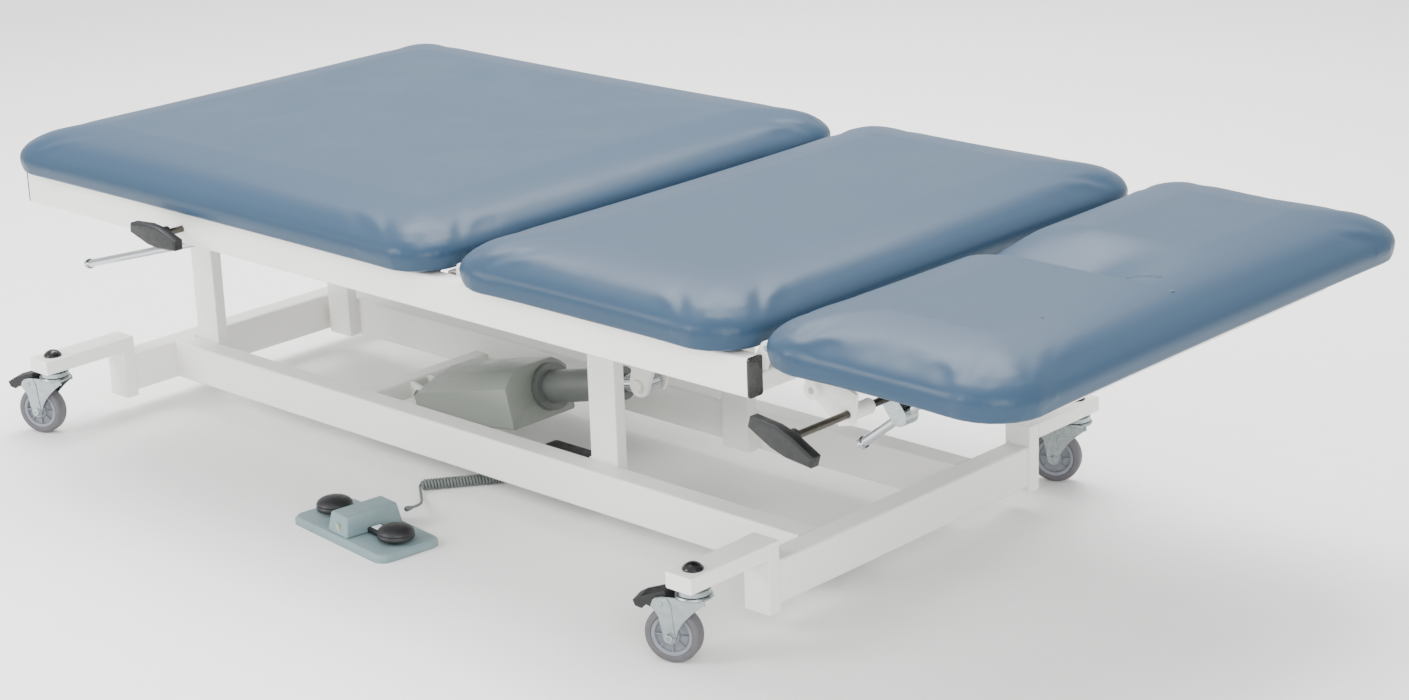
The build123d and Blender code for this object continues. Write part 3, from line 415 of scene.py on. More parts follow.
# Bonded thread of the top stitches, darker than the vinyl.
THREAD = Finish("bonded_nylon_thread", "#33495c", 0.65, grain_mm=0.5, grain_height_mm=0.05)
# Spun-bonded dust cloth under the boards: black, dull and fibrous.
DUST_CLOTH = Finish("spun_bonded_dust_cloth", "#1c1d1f", 0.92, grain_mm=0.9, grain_height_mm=0.12, sheen=0.2)
# Powder coat over welded steel tube: satin white with a slight orange peel, rubbed at its edges.
POWDER = Finish("steel_powder_coated_white", "#ecebe7", 0.36, grain_mm=2.2, grain_height_mm=0.025,
                blotch_mm=180, blotch=0.02, roughness_spread=0.05, wear_mm=1.2, wear_colour="#c9c7c1")
# Bright zinc plate: cool, semi-bright, with cloudy patches.
ZINC = Finish("steel_zinc_plated", "#9aa3a4", 0.30, 1.0, grain_mm=0.8, grain_height_mm=0.008,
              blotch_mm=9, blotch=0.10, roughness_spread=0.10)
# Hard chrome on ground rod: nearly a mirror.
CHROME = Finish("steel_chrome_plated", "#b9bdc1", 0.09, 1.0, grain_mm=0.6, grain_height_mm=0.002,
                blotch_mm=30, blotch=0.03, roughness_spread=0.04)
# Turned dark steel of the locking shafts.
DARK_STEEL = Finish("steel_blackened_turned", "#55524c", 0.34, 1.0, grain_mm=0.7, grain_height_mm=0.01,
                    blotch_mm=8, blotch=0.12)
# Thermoplastic rubber tyre: warm grey, matt, a little scuffed where it rolls.
TYRE = Finish("grey_rubber_moulded", "#58565a", 0.62, grain_mm=1.0, grain_height_mm=0.03,
              blotch_mm=14, blotch=0.08)
# Polypropylene wheel centre: paler and smoother than the tyre.
HUB = Finish("polypropylene_moulded", "#777b83", 0.42, grain_mm=0.9, grain_height_mm=0.01,
             blotch_mm=20, blotch=0.05)
# Glass-filled nylon of handles and brakes: near black, spark-eroded satin.
NYLON = Finish("nylon_glass_filled_black", "#0d0e10", 0.50, grain_mm=0.7, grain_height_mm=0.03,
               blotch_mm=18, blotch=0.12, wear_mm=0.9, wear_colour="#222326")
# Polished black caps and plugs.
CAP = Finish("polyethylene_moulded_black", "#0a0b0c", 0.25, grain_mm=1.2, grain_height_mm=0.01, blotch_mm=18)
# Painted ABS casing of the actuator: grey with a green cast and a fine moulded texture.
CASING = Finish("abs_moulded_grey", "#868c84", 0.43, grain_mm=0.8, grain_height_mm=0.02,
                blotch_mm=70, blotch=0.03)
# Darker aluminium tube, painted grey.
TUBE_GREY = Finish("aluminium_painted_grey", "#626663", 0.36, grain_mm=1.0, grain_height_mm=0.01,
                   blotch_mm=40)
# ABS of the foot control: pale grey with a blue-green cast.
PEDAL = Finish("abs_moulded_grey_green", "#758a8d", 0.48, grain_mm=0.9, grain_height_mm=0.03,
               blotch_mm=45, blotch=0.04, wear_mm=0.9, wear_colour="#8a9b9d")
# Soft rubber domes of the foot control.
DOME = Finish("silicone_rubber_black", "#141518", 0.50, grain_mm=0.8, grain_height_mm=0.03,
              blotch_mm=12, blotch=0.10)
# PVC cord jacket.
JACKET = Finish("pvc_cord_jacket", "#626866", 0.50, grain_mm=0.8, grain_height_mm=0.02, blotch_mm=15)
# Acrylic light window.
WINDOW = Finish("acrylic_window", "#9aa58a", 0.20, grain_mm=2.0, grain_height_mm=0.01, blotch_mm=5)
# Plain white tab, with nothing printed on it.
TAB = Finish("polycarbonate_tab", "#dfe3df", 0.35, grain_mm=1.0, grain_height_mm=0.01, blotch_mm=8)


# ---------------------------------------------------------------- rows of small things
@dataclass(frozen=True)
class Row:
    """A row of small rounded beads along a path, made by Geometry Nodes.

    Width lies along the surface, height stands off it, and length follows the path.
    """

    spacing: float
    width: float
    height: float
    length: float
    finish: Finish

    def tree(self) -> bpy.types.NodeTree:
        """Build the node tree, with the row's sizes as named inputs.

        Returns:
            The row's node group.
        """
        tree = bpy.data.node_groups.new("row_of_bead", "GeometryNodeTree")
        face = tree.interface
        face.new_socket("Geometry", in_out="INPUT", socket_type="NodeSocketGeometry")
        face.new_socket("Spacing", in_out="INPUT", socket_type="NodeSocketFloat")
        face.new_socket("Size", in_out="INPUT", socket_type="NodeSocketVector")
        face.new_socket("Geometry", in_out="OUTPUT", socket_type="NodeSocketGeometry")
        given = add_node(tree, "NodeGroupInput")
        line = add_node(tree, "GeometryNodeMeshToCurve", Mesh=given.outputs["Geometry"])
        spots = add_node(
            tree, "GeometryNodeCurveToPoints", {"mode": "LENGTH"},
            Curve=line.outputs[0], Length=given.outputs["Spacing"],
        )
        unit = add_node(tree, "GeometryNodeMeshUVSphere", {"Radius": 0.5, "Segments": 10, "Rings": 6})
        sized = add_node(
            tree, "GeometryNodeTransform", Geometry=unit.outputs[0], Scale=given.outputs["Size"]
        )
        placed = add_node(
            tree, "GeometryNodeInstanceOnPoints",
            Points=spots.outputs["Points"], Instance=sized.outputs[0], Rotation=spots.outputs["Rotation"],
        )
        real = add_node(tree, "GeometryNodeRealizeInstances", Geometry=placed.outputs[0])
        smooth = add_node(
            tree, "GeometryNodeSetShadeSmooth", {"Shade Smooth": True},
            Geometry=real.outputs[0],
        )
        painted = add_node(
            tree, "GeometryNodeSetMaterial", {"Material": self.finish.material()}, Geometry=smooth.outputs[0]
        )
        add_node(tree, "NodeGroupOutput", Geometry=painted.outputs[0])
        return tree

    def along(self, name: str, paths: list[list[Point]]) -> bpy.types.Object:
        """Make the row along each path.

        Args:
            name: The piece's name.
            paths: One list of points for each path.

        Returns:
            One plain mesh piece.
        """
        points, edges = [], []
        for path in paths:
            first = len(points)
            points += path
            edges += [(first + k, first + k + 1) for k in range(len(path) - 1)]
        guide = bpy.data.meshes.new(name + "_path")
        guide.from_pydata(points, edges, [])
        carrier = bpy.data.objects.new(name + "_path", guide)
        bpy.context.scene.collection.objects.link(carrier)
        nodes = carrier.modifiers.new("row", "NODES")
        nodes.node_group = self.tree()
        for item in nodes.node_group.interface.items_tree:
            if item.in_out == "INPUT" and item.name == "Spacing":
                nodes[item.identifier] = self.spacing
            if item.in_out == "INPUT" and item.name == "Size":
                nodes[item.identifier] = (self.width, self.height, self.length)
        bpy.context.view_layer.update()
        solid = carrier.evaluated_get(bpy.context.evaluated_depsgraph_get())
        mesh = bpy.data.meshes.new_from_object(solid)
        bpy.data.objects.remove(carrier)
        piece = bpy.data.objects.new(name, mesh)
        bpy.context.scene.collection.objects.link(piece)
        return piece


# ---------------------------------------------------------------- stage
@dataclass
class Stage:
    """Camera, floor and soft studio light."""

    eye: Point = (2.7508, -2.7755, 1.5112)
    right: Point = (0.73023, 0.68241, -0.03298)
    down: Point = (0.19261, -0.25194, -0.94838)
    ahead: Point = (-0.65549, 0.68618, -0.31541)
    lens_mm: float = 73.02
    sensor_mm: float = 36.0
    shift_x: float = 0.0040
    floor_size: float = 40.0

    def camera(self) -> None:
        """Put the camera where the table is seen from its near head corner."""
        data = bpy.data.cameras.new("camera")
        data.lens = self.lens_mm
        data.sensor_width = self.sensor_mm
        data.shift_x = self.shift_x
        camera = bpy.data.objects.new("camera", data)
        turn = Matrix((self.right, -Vector(self.down), -Vector(self.ahead))).transposed()
        camera.matrix_world = Matrix.Translation(self.eye) @ turn.to_4x4()
        bpy.context.scene.collection.objects.link(camera)
        bpy.context.scene.camera = camera

    def floor(self) -> None:
        """Lay a plain pale floor under the casters."""
        half = self.floor_size / 2
        mesh = bpy.data.meshes.new("floor")
        corners = [(-half, -half, 0), (half, -half, 0), (half, half, 0), (-half, half, 0)]
        mesh.from_pydata(corners, [], [(0, 1, 2, 3)])
        floor = new_piece("floor", mesh, False)
        floor.data.materials.append(Finish("floor_paint_pale", "#f4f4f2", 0.7, blotch=0.01).material())

    def light(self, name: str, place: Point, size: float, watts: float) -> None:
        """Hang one soft square light aimed at the table's middle.

        Args:
            name: The light's name.
            place: Where it hangs.
            size: The length of its side.
            watts: Its power.
        """
        data = bpy.data.lights.new(name, "AREA")
        data.size = size
        data.energy = watts
        lamp = bpy.data.objects.new(name, data)
        aim = Vector((0, 0, 0.35)) - Vector(place)
        lamp.matrix_world = Matrix.Translation(place) @ aim.to_track_quat("-Z", "Y").to_matrix().to_4x4()
        bpy.context.scene.collection.objects.link(lamp)

    def build(self) -> None:
        """Make the whole stage."""
        self.camera()
        self.floor()
        self.light("key", (-0.9, 0.9, 3.6), 3.2, 330)
        self.light("fill", (3.4, -2.6, 2.2), 2.6, 150)
        self.light("side", (-1.9, -3.6, 2.3), 1.6, 130)
        world = bpy.data.worlds.new("studio")
        world.use_nodes = True
        world.node_tree.nodes["Background"].inputs["Color"].default_value = linear("#fbfcfd")
        world.node_tree.nodes["Background"].inputs["Strength"].default_value = 1.35
        bpy.context.scene.world = world


# ---------------------------------------------------------------- foot control's cord
@dataclass
class PedalCord:
    """Curly cord from the foot control to the control box, on one smooth line."""

    radius: float = 2.1 * MM
    coil_radius: float = 8.5 * MM
    coil_length: float = 123 * MM
    coil_heading: float = math.radians(53)
    coil_start: tuple[float, float] = (-0.269, -0.216)
    pitch: float = 4.7 * MM
    points_per_turn: int = 14
    relief_length: float = 20 * MM
    relief_radius: float = 4 * MM
    length: float = 1.29

    def lead(self) -> list[Point]:
        """Route from the foot control to the coil."""
        return [
            (-0.185, -0.308, 0.022), (-0.197, -0.286, 0.015), (-0.219, -0.259, 0.006),
            (-0.251, -0.233, 0.0026), (-0.2703, -0.2178, 0.0085),
        ]

    def riser(self) -> list[Point]:
        """Route from the coil up to the control box."""
        return [
            (-0.159, -0.091, 0.024), (-0.139, -0.105, 0.043), (-0.129, -0.126, 0.055),
            (-0.111, -0.126, 0.055),
        ]

    def helix(self) -> list[Point]:
        """Turns of the coil, which leave its axis in the first half turn and come back in the last.

        Returns:
            Points along the wire.
        """
        along = Vector((math.cos(self.coil_heading), math.sin(self.coil_heading), 0))
        across = Vector((-along.y, along.x, 0))
        start = Vector((*self.coil_start, self.coil_radius))
        step = 2 * math.pi / self.points_per_turn
        wide = (self.coil_radius - self.radius) / math.cos(step / 2)
        count = int(self.coil_length / self.pitch * self.points_per_turn)
        ease = self.points_per_turn / 2
        points = []
        for k in range(count + 1):
            reach = wide * min(1.0, (k + 1) / ease, (count - k + 1) / ease)
            turn = k * step
            offset = across * math.cos(turn) + Vector((0, 0, 1)) * math.sin(turn)
            points.append(tuple(start + along * (self.coil_length * k / count) + offset * reach))
        return points

    def build(self) -> None:
        """Make the cord and the tapered reliefs at its two ends."""
        route = self.lead() + self.helix() + self.riser()
        curve = bpy.data.curves.new("foot_control_cord", "CURVE")
        curve.dimensions = "3D"
        curve.bevel_depth = self.radius
        curve.bevel_resolution = 3
        curve.resolution_u = 3
        curve.use_fill_caps = True
        spline = curve.splines.new("NURBS")
        spline.points.add(len(route) - 1)
        for point, place in zip(spline.points, route):
            point.co = (*place, 1)
        spline.order_u = 3
        spline.use_endpoint_u = True
        cord = bpy.data.objects.new("foot_control_cord", curve)
        bpy.context.scene.collection.objects.link(cord)
        dress(cord, JACKET, "base", "cord_jacket", "pedal_cord", "cord_coil")
        relief = self.reliefs(route)

    def reliefs(self, route: list[Point]) -> bpy.types.Object:
        """Ribbed tapered sleeves, one at each end of the cord.

        Args:
            route: Every point of the cord, in order.

        Returns:
            One piece with both sleeves.
        """
        bm = bmesh.new()
        ends = (
            (route[0], Vector(route[0]) - Vector(route[1])),
            (route[-1], Vector(route[-1]) - Vector(route[-2])),
        )
        ribs = 6
        root = self.radius + 0.5 * MM
        for tip, way in ends:
            place = Matrix.Translation(tip) @ way.to_track_quat("Z", "Y").to_matrix().to_4x4()
            profile = [(self.radius + 0.1 * MM, 0.0)]
            for k in range(ribs):
                low = self.relief_length * k / ribs
                rim = root + (self.relief_radius - root) * (k + 1) / ribs
                profile += [(rim - 0.4 * MM, low + 0.1 * MM), (rim, low + 0.9 * MM), (rim, low + 2.3 * MM),
                            (rim - 0.5 * MM, low + 2.8 * MM)]
            profile += [(self.relief_radius, self.relief_length), (0, self.relief_length)]
            spin(bm, [(0, 0.0)] + profile, place, 20)
        piece = piece_from("cord_reliefs", bm)
        return dress(piece, JACKET, "base", "cord_jacket", "cord_sleeves")


# ---------------------------------------------------------------- cushions
def eased(share: float) -> float:
    """Smooth step from 0 to 1."""
    t = min(1.0, max(0.0, share))
    return t * t * (3 - 2 * t)


@dataclass(frozen=True)
class Hollow:
    """Face hollow: its two sides, its reach from the gap, its depth and how wide each wall is."""

    near_y: float = -60 * MM
    far_y: float = 112 * MM
    reach: float = 312 * MM
    depth: float = 34 * MM
    near_wall: float = 26 * MM
    far_wall: float = 146 * MM
    end_wall: float = 150 * MM


@dataclass
class Cushion:
    """Foam pad in a vinyl cover: crowned, with pulled-in sides and soft corners."""

    node: str
    corner: float = 72 * MM
    shrink: float = 2.0 * MM
    crown: float = 6 * MM
    foot_reach: float = 0.0
    head_reach: float = 0.0
    edge_height: float = 23 * MM
    top_run: float = 185 * MM
    bottom_run: float = 14 * MM
    side_pull: float = 4.0 * MM
    voxel: float = 6 * MM
    swell_cap: float = 5 * MM
    corner_loss: float = 0.8
    least_corner: float = 12 * MM
    pull_fullness: float = 0.7
    seat_gap: float = 0.4 * MM
    top_drop: float = 2.5 * MM
    stapled_height: float = 3 * MM
    last_frame: int = 20
    hollow: Hollow | None = None

    def room(self) -> tuple[list[float], list[float]]:
        """Room that the cover may fill: its CAD solid's, raised by the crown and let into the gaps.

        Returns:
            Its lowest and its highest corner.
        """
        low, high = (list(corner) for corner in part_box(self.node))
        low[0] -= self.foot_reach
        high[0] += self.head_reach
        high[2] += self.crown
        return low, high

    def ring(self, inset: float, height: float) -> list[Point]:
        """Plan of the pad at one height, moved in from its outline.

        Args:
            inset: How far it is moved in.
            height: The ring's height.

        Returns:
            The ring's points, in order.
        """
        low, high = self.room()
        low_x, low_y = low[0] + self.shrink + inset, low[1] + self.shrink + inset
        high_x, high_y = high[0] - self.shrink - inset, high[1] - self.shrink - inset
        radius = max(self.corner - inset * self.corner_loss, self.least_corner)
        centres = [(high_x - radius, high_y - radius, 0), (low_x + radius, high_y - radius, 90),
                   (low_x + radius, low_y + radius, 180), (high_x - radius, low_y + radius, 270)]
        points = []
        arc_steps, side_steps = 12, 24
        for k, (x, y, start) in enumerate(centres):
            for s in range(arc_steps + 1):
                turn = math.radians(start + 90 * s / arc_steps)
                points.append((x + radius * math.cos(turn), y + radius * math.sin(turn), height))
            nx, ny, nstart = centres[(k + 1) % 4]
            out = Vector((math.cos(math.radians(nstart)), math.sin(math.radians(nstart)), 0))
            first = Vector((x, y, height)) + out * radius
            last = Vector((nx, ny, height)) + out * radius
            for s in range(1, side_steps):
                t = s / side_steps
                pull = self.side_pull * math.sin(math.pi * t) ** self.pull_fullness
                points.append(tuple(first.lerp(last, t) - out * pull))
        return points

    def profile(self) -> list[tuple[float, float]]:
        """Inset and height from the underside, round the side, to the top.

        Returns:
            One pair for each ring.
        """
        low, high = self.room()
        base, top = low[2] + self.seat_gap, high[2] - self.top_drop
        widest = base + self.edge_height
        squareness = 2.05
        steps = 12
        points = []
        for k in range(steps, 0, -1):
            turn = math.pi / 2 * k / steps
            points.append((self.bottom_run * (1 - math.cos(turn) ** (2 / squareness)),
                           widest - (widest - base) * math.sin(turn) ** (2 / squareness)))
        for k in range(steps + 1):
            turn = math.pi / 2 * k / steps
            points.append((self.top_run * (1 - math.cos(turn) ** (2 / squareness)),
                           widest + (top - widest) * math.sin(turn) ** (2 / squareness)))
        return points

    def shell(self) -> bpy.types.Object:
        """Closed pad before it is swollen.

        Returns:
            The pad, evenly meshed.
        """
        bm = bmesh.new()
        rings = [[bm.verts.new(p) for p in self.ring(inset, height)] for inset, height in self.profile()]
        count = len(rings[0])
        for low, high in zip(rings, rings[1:]):
            for k in range(count):
                n = (k + 1) % count
                bm.faces.new((low[k], low[n], high[n], high[k]))
        bm.faces.new(rings[0][::-1])
        bm.faces.new(rings[-1])
        piece = piece_from(self.node + "_cover", bm)
        remesh = piece.modifiers.new("even", "REMESH")
        remesh.mode = "VOXEL"
        remesh.voxel_size = self.voxel
        remesh.use_smooth_shade = True
        return self.applied(piece)

    def applied(self, piece: bpy.types.Object) -> bpy.types.Object:
        """Turn a piece's modifiers into its mesh.

        Args:
            piece: The piece to bake.

        Returns:
            The same piece.
        """
        bpy.context.view_layer.update()
        mesh = bpy.data.meshes.new_from_object(piece.evaluated_get(bpy.context.evaluated_depsgraph_get()))
        piece.modifiers.clear()
        piece.data = mesh
        return piece

    def swell(self, piece: bpy.types.Object) -> None:
        """Blow the cover out a little against its foam, held flat on its board.

        Args:
            piece: The cover.
        """
        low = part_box(self.node)[0]
        rest = [v.co.copy() for v in piece.data.vertices]
        held = piece.vertex_groups.new(name="board")
        board = [k for k, p in enumerate(rest) if p.z < low[2] + self.stapled_height]
        held.add(board, 1.0, "REPLACE")
        cloth = piece.modifiers.new("cover", "CLOTH")
        cloth.settings.quality = 4
        cloth.settings.mass = 0.4
        cloth.settings.tension_stiffness = 25
        cloth.settings.compression_stiffness = 25
        cloth.settings.bending_stiffness = 6
        cloth.settings.use_pressure = True
        cloth.settings.uniform_pressure_force = 4.0
        cloth.settings.vertex_group_mass = "board"
        cloth.settings.effector_weights.gravity = 0.0
        cloth.collision_settings.use_collision = False
        scene = bpy.context.scene
        for number in range(1, self.last_frame + 1):
            scene.frame_set(number)
        self.applied(piece)
        scene.frame_set(1)
        for vertex, start in zip(piece.data.vertices, rest):
            move = vertex.co - start
            if move.length > self.swell_cap:
                vertex.co = start + move * (self.swell_cap / move.length)
        piece.vertex_groups.clear()

    def keep_inside(self, piece: bpy.types.Object) -> None:
        """Press the cover back into its room.

        Args:
            piece: The cover.
        """
        low, high = self.room()
        under, over = 0.2 * MM, 0.1 * MM
        for vertex in piece.data.vertices:
            for axis in range(3):
                vertex.co[axis] = min(max(vertex.co[axis], low[axis] + under), high[axis] - over)

    def tuck_corners(self, piece: bpy.types.Object) -> None:
        """Gather small folds round each corner's underside, where the cover is stapled.

        Args:
            piece: The cover.
        """
        low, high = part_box(self.node)
        folds, deep, smooth_share = 22, 1.3 * MM, 0.6
        for vertex in piece.data.vertices:
            x = min(vertex.co.x - low[0], high[0] - vertex.co.x) - self.corner
            y = min(vertex.co.y - low[1], high[1] - vertex.co.y) - self.corner
            if x > 0 or y > 0:
                continue
            turn = math.atan2(-y, -x)
            under = max(0.0, 1 - (vertex.co.z - low[2]) / self.edge_height)
            fade = math.sin(2 * turn) ** 0.5 if 0 < turn < math.pi / 2 else 0.0
            out = max(0.0, math.hypot(x, y) / self.corner - smooth_share)
            vertex.co.z += deep * under * fade * out * (1 + math.sin(folds * turn))

    def press_hollow(self, piece: bpy.types.Object) -> None:
        """Press the face hollow into the top: open at the gap, steep on its near side, smooth on the far.

        Args:
            piece: The cover.
        """
        low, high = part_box(self.node)
        hollow, unmoved = self.hollow, 0.2
        for vertex in piece.data.vertices:
            lift = (vertex.co.z - low[2]) / (high[2] - low[2])
            near = (vertex.co.y - hollow.near_y) / hollow.near_wall
            far = (hollow.far_y - vertex.co.y) / hollow.far_wall
            end = (low[0] + hollow.reach - vertex.co.x) / hollow.end_wall
            share = eased(near) * eased(far) * eased(end)
            vertex.co.z -= hollow.depth * share * max(0.0, lift - unmoved) / (1 - unmoved)

    def build(self) -> bpy.types.Object:
        """Make, swell and dress the cushion.

        Returns:
            The finished piece.
        """
        piece = self.shell()
        self.swell(piece)
        relax = piece.modifiers.new("relax", "SMOOTH")
        relax.factor = 0.5
        relax.iterations = 6
        self.applied(piece)
        self.keep_inside(piece)
        self.tuck_corners(piece)
        fine = piece.modifiers.new("fine", "SUBSURF")
        fine.levels = fine.render_levels = 1
        self.applied(piece)
        if self.hollow:
            self.press_hollow(piece)
        piece.data.polygons.foreach_set("use_smooth", [True] * len(piece.data.polygons))
        dress(piece, VINYL, body_of(self.node), "blue_vinyl", self.node)
        return piece


@dataclass
class HollowDetails:
    """Double top stitch beside the face hollow and two small vents in the head cushion."""

    cushion: bpy.types.Object
    node: str = "head_cushion"
    stitch: float = 4.2 * MM
    gap: float = 5.0 * MM
    seam_start: float = 150 * MM
    seam_run: float = 150 * MM
    seam_y: float = -45 * MM
    seam_drift: float = 26 * MM
    seam_steps: int = 18
    vents: tuple[tuple[float, float], ...] = ((334 * MM, -40 * MM), (287 * MM, -235 * MM))

    def surface(self) -> BVHTree:
        """The cushion's surface, to lay things on."""
        return BVHTree.FromObject(self.cushion, bpy.context.evaluated_depsgraph_get())

    def on_top(self, tree: BVHTree, x: float, y: float, lift: float) -> Point:
        """Point on the cushion's top below a place, raised by lift."""
        hit = tree.ray_cast(Vector((x, y, 1.0)), Vector((0, 0, -1)))[0]
        return (x, y, hit.z + lift)

    def build(self) -> None:
        """Lay the stitches and set the vents."""
        bpy.context.view_layer.update()
        tree = self.surface()
        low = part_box(self.node)[0]
        rows = []
        for offset in (0.0, self.gap):
            row = []
            for k in range(self.seam_steps + 1):
                t = k / self.seam_steps
                x = low[0] + self.seam_start + self.seam_run * t
                y = self.seam_y + self.seam_drift * t * t + offset
                row.append(self.on_top(tree, x, y, 0.1 * MM))
            rows.append(row)
        thread = Row(
            spacing=self.stitch + 1.0 * MM, width=1.2 * MM, height=1.0 * MM, length=self.stitch, finish=THREAD
        )
        dress(thread.along("hollow_stitches", rows), THREAD, "head_section", "blue_vinyl")
        bm = bmesh.new()
        for x, y in self.vents:
            place = Matrix.Translation(self.on_top(tree, low[0] + x, y, -0.6 * MM))
            ring = [(0, 0.0), (1.2, 0.0), (1.5, 0.9), (2.6, 1.2), (3.4, 0.8), (3.6, 0.0), (0, -0.6)]
            spin(bm, [(r * MM, h * MM) for r, h in ring], place, 16)
        dress(piece_from("cushion_vents", bm), THREAD, "head_section", "blue_vinyl")


# ---------------------------------------------------------------- casters
@dataclass
class Caster:
    """Swivel caster with a pressed fork, a rubber-tyred wheel and a toothed brake lever."""

    corner: str
    wheel_radius: float = 38 * MM
    half_width: float = 12 * MM
    inside: float = 15 * MM
    sheet: float = 2.5 * MM
    strap_sheet: float = 1.2 * MM
    tyre_depth: float = 10 * MM
    rivet_ahead: float = 10 * MM
    rivet_rise: float = 45 * MM
    axle_at_mm: tuple[float, float] = (28, 38)

    def place(self) -> Matrix:
        """Caster's own frame: origin on the floor below its stem, X the way the wheel trails.

        Returns:
            The frame's place.
        """
        stem = joint(f"{self.corner}_caster_turn")["pos_m"]
        axle = joint(f"{self.corner}_wheel_turn")["pos_m"]
        turn = math.atan2(axle[1] - stem[1], axle[0] - stem[0])
        return Matrix.Translation((stem[0], stem[1], 0)) @ Matrix.Rotation(turn, 4, "Z")

    def axle(self) -> Matrix:
        """Frame on the wheel's axle, with Z along it.

        Returns:
            The frame's place.
        """
        place = self.place()
        trail = (Vector(joint(f"{self.corner}_wheel_turn")["pos_m"]) - place.translation).xy.length
        centre = Matrix.Translation((trail, 0, self.wheel_radius))
        return place @ centre @ Matrix.Rotation(math.pi / 2, 4, "X")

    def side(self, outline: list[tuple[float, float]], y: float, depth: float, bm: bmesh.types.BMesh) -> None:
        """Cut one upright plate across the caster from an outline in millimetres.

        Args:
            outline: Its corners in the caster's frame.
            y: Where its first face stands.
            depth: Its thickness, with a sign.
            bm: The bmesh that gets the faces.
        """
        place = self.place()
        points = [tuple(place @ Vector((x * MM, y, z * MM))) for x, z in outline]
        slab(bm, points, place.to_3x3() @ Vector((0, depth, 0)))

    def round_axle(self, radius: float, start: float, steps: int) -> list[tuple[float, float]]:
        """Part of a plate's outline round the axle.

        Args:
            radius: Its radius in millimetres.
            start: Where it starts, in degrees.
            steps: How many points it has, 30 degrees apart.

        Returns:
            Its points in millimetres.
        """
        x, z = self.axle_at_mm
        turns = [math.radians(start + 30 * k) for k in range(steps)]
        return [(x + radius * math.cos(a), z + radius * math.sin(a)) for a in turns]

    def fork(self) -> None:
        """Pressed legs that sweep from the raceway to the axle, with a rib down each, bolt and rivet."""
        bm = bmesh.new()
        toe, swept, rise, bow, steps = 19, 36, 47, 1.7, 8
        boss, strap_boss = 9, 8
        sweep = []
        for k in range(steps + 1):
            left = 1 - k / steps
            sweep.append((toe - swept * left ** bow, self.axle_at_mm[1] + rise * left))
        leg = [(-20, 93), (-21, 86)] + sweep + self.round_axle(boss, -150, 6)
        leg += [(40, 60), (44, 74), (50, 84), (47, 90), (38, 93)]
        strap = self.round_axle(strap_boss, 180, 7)
        strap += [(42, 66), (52, 80), (49, 88), (40, 92), (30, 92), (25, 84)]
        for sign in (-1, 1):
            self.side(leg, sign * self.inside, sign * self.sheet, bm)
            self.side(strap, sign * (self.inside + self.sheet), sign * self.strap_sheet, bm)
        place = self.place()
        race = [(0, 88), (17, 88), (21, 90), (24.5, 91.5), (25, 94), (23.5, 96), (20, 96.4), (0, 96.4)]
        spin(bm, [(r * MM, h * MM) for r, h in race], place)
        washer, thick = 7.6 * MM, 1 * MM
        for sign in (-1, 1):
            out = self.axle() @ Matrix.Rotation(math.pi if sign > 0 else 0, 4, "X")
            face = self.inside + self.sheet + self.strap_sheet
            spin(bm, [(0, face), (washer, face), (washer, face + thick), (0, face + thick)], out, 24)
            head = [(0, face + thick), (6.2 * MM, face + thick), (6.4 * MM, face + 3.2 * MM),
                    (5.4 * MM, face + 4 * MM), (2.2 * MM, face + 4 * MM), (2.0 * MM, face + 2.4 * MM),
                    (0, face + 2.4 * MM)]
            spin(bm, head, out, 6)
            pin = out @ Matrix.Translation((self.rivet_ahead, -sign * self.rivet_rise, 0))
            rivet = [(0, face), (3.4 * MM, face), (2.8 * MM, face + 1.2 * MM), (0, face + 1.7 * MM)]
            spin(bm, rivet, pin, 16)
        piece = piece_from(f"{self.corner}_pressed_fork", bm, True)
        round_edges(piece, 0.7 * MM)
        dress(piece, ZINC, f"{self.corner}_swivel", "zinc_steel", f"{self.corner}_fork")

    def wheel(self) -> None:
        """Tyre with round shoulders and a raised sidewall ring, and a hub with radial ribs."""
        rim = self.wheel_radius - self.tyre_depth
        outer, w = self.wheel_radius, self.half_width
        tyre = [(rim, -w + 2 * MM), (rim + 2 * MM, -w + 0.4 * MM), (rim + 3 * MM, -w + 0.9 * MM),
                (outer - 4 * MM, -w + 0.3 * MM), (outer - 1.4 * MM, -w + 2.6 * MM),
                (outer - 0.2 * MM, -w + 6 * MM), (outer, 0)]
        profile = tyre + [(r, -z) for r, z in tyre[-2::-1]] + [tyre[0]]
        bm = bmesh.new()
        spin(bm, profile, self.axle(), 64)
        tyre_piece = piece_from(f"{self.corner}_rolling_tyre", bm)
        dress(tyre_piece, TYRE, f"{self.corner}_wheel", "grey_tyre", f"{self.corner}_tyre")
        bm = bmesh.new()
        hub = [(4.1, -13.5), (10, -13.5), (11.2, -12.5), (11.6, -6), (13, -5), (21, -5), (22.4, -6),
               (23, -9.4), (24.4, -10.2), (27.9, -10.2)]
        hub = [(r * MM, h * MM) for r, h in hub]
        spin(bm, hub + [(r, -h) for r, h in hub[::-1]] + [hub[0]], self.axle(), 48)
        ribs, rib, rib_middle = 8, (13 * MM, 1.8 * MM, 17 * MM), 17 * MM
        for k in range(ribs):
            turn = self.axle() @ Matrix.Rotation(2 * math.pi * k / ribs, 4, "Z")
            box = bmesh.ops.create_cube(bm, size=1.0)["verts"]
            size = Matrix.Diagonal((*rib, 1))
            bmesh.ops.transform(bm, matrix=turn @ Matrix.Translation((rib_middle, 0, 0)) @ size, verts=box)
        hub_piece = piece_from(f"{self.corner}_ribbed_hub", bm)
        round_edges(hub_piece, 0.4 * MM)
        dress(hub_piece, HUB, f"{self.corner}_wheel", "grey_hub", f"{self.corner}_hub")

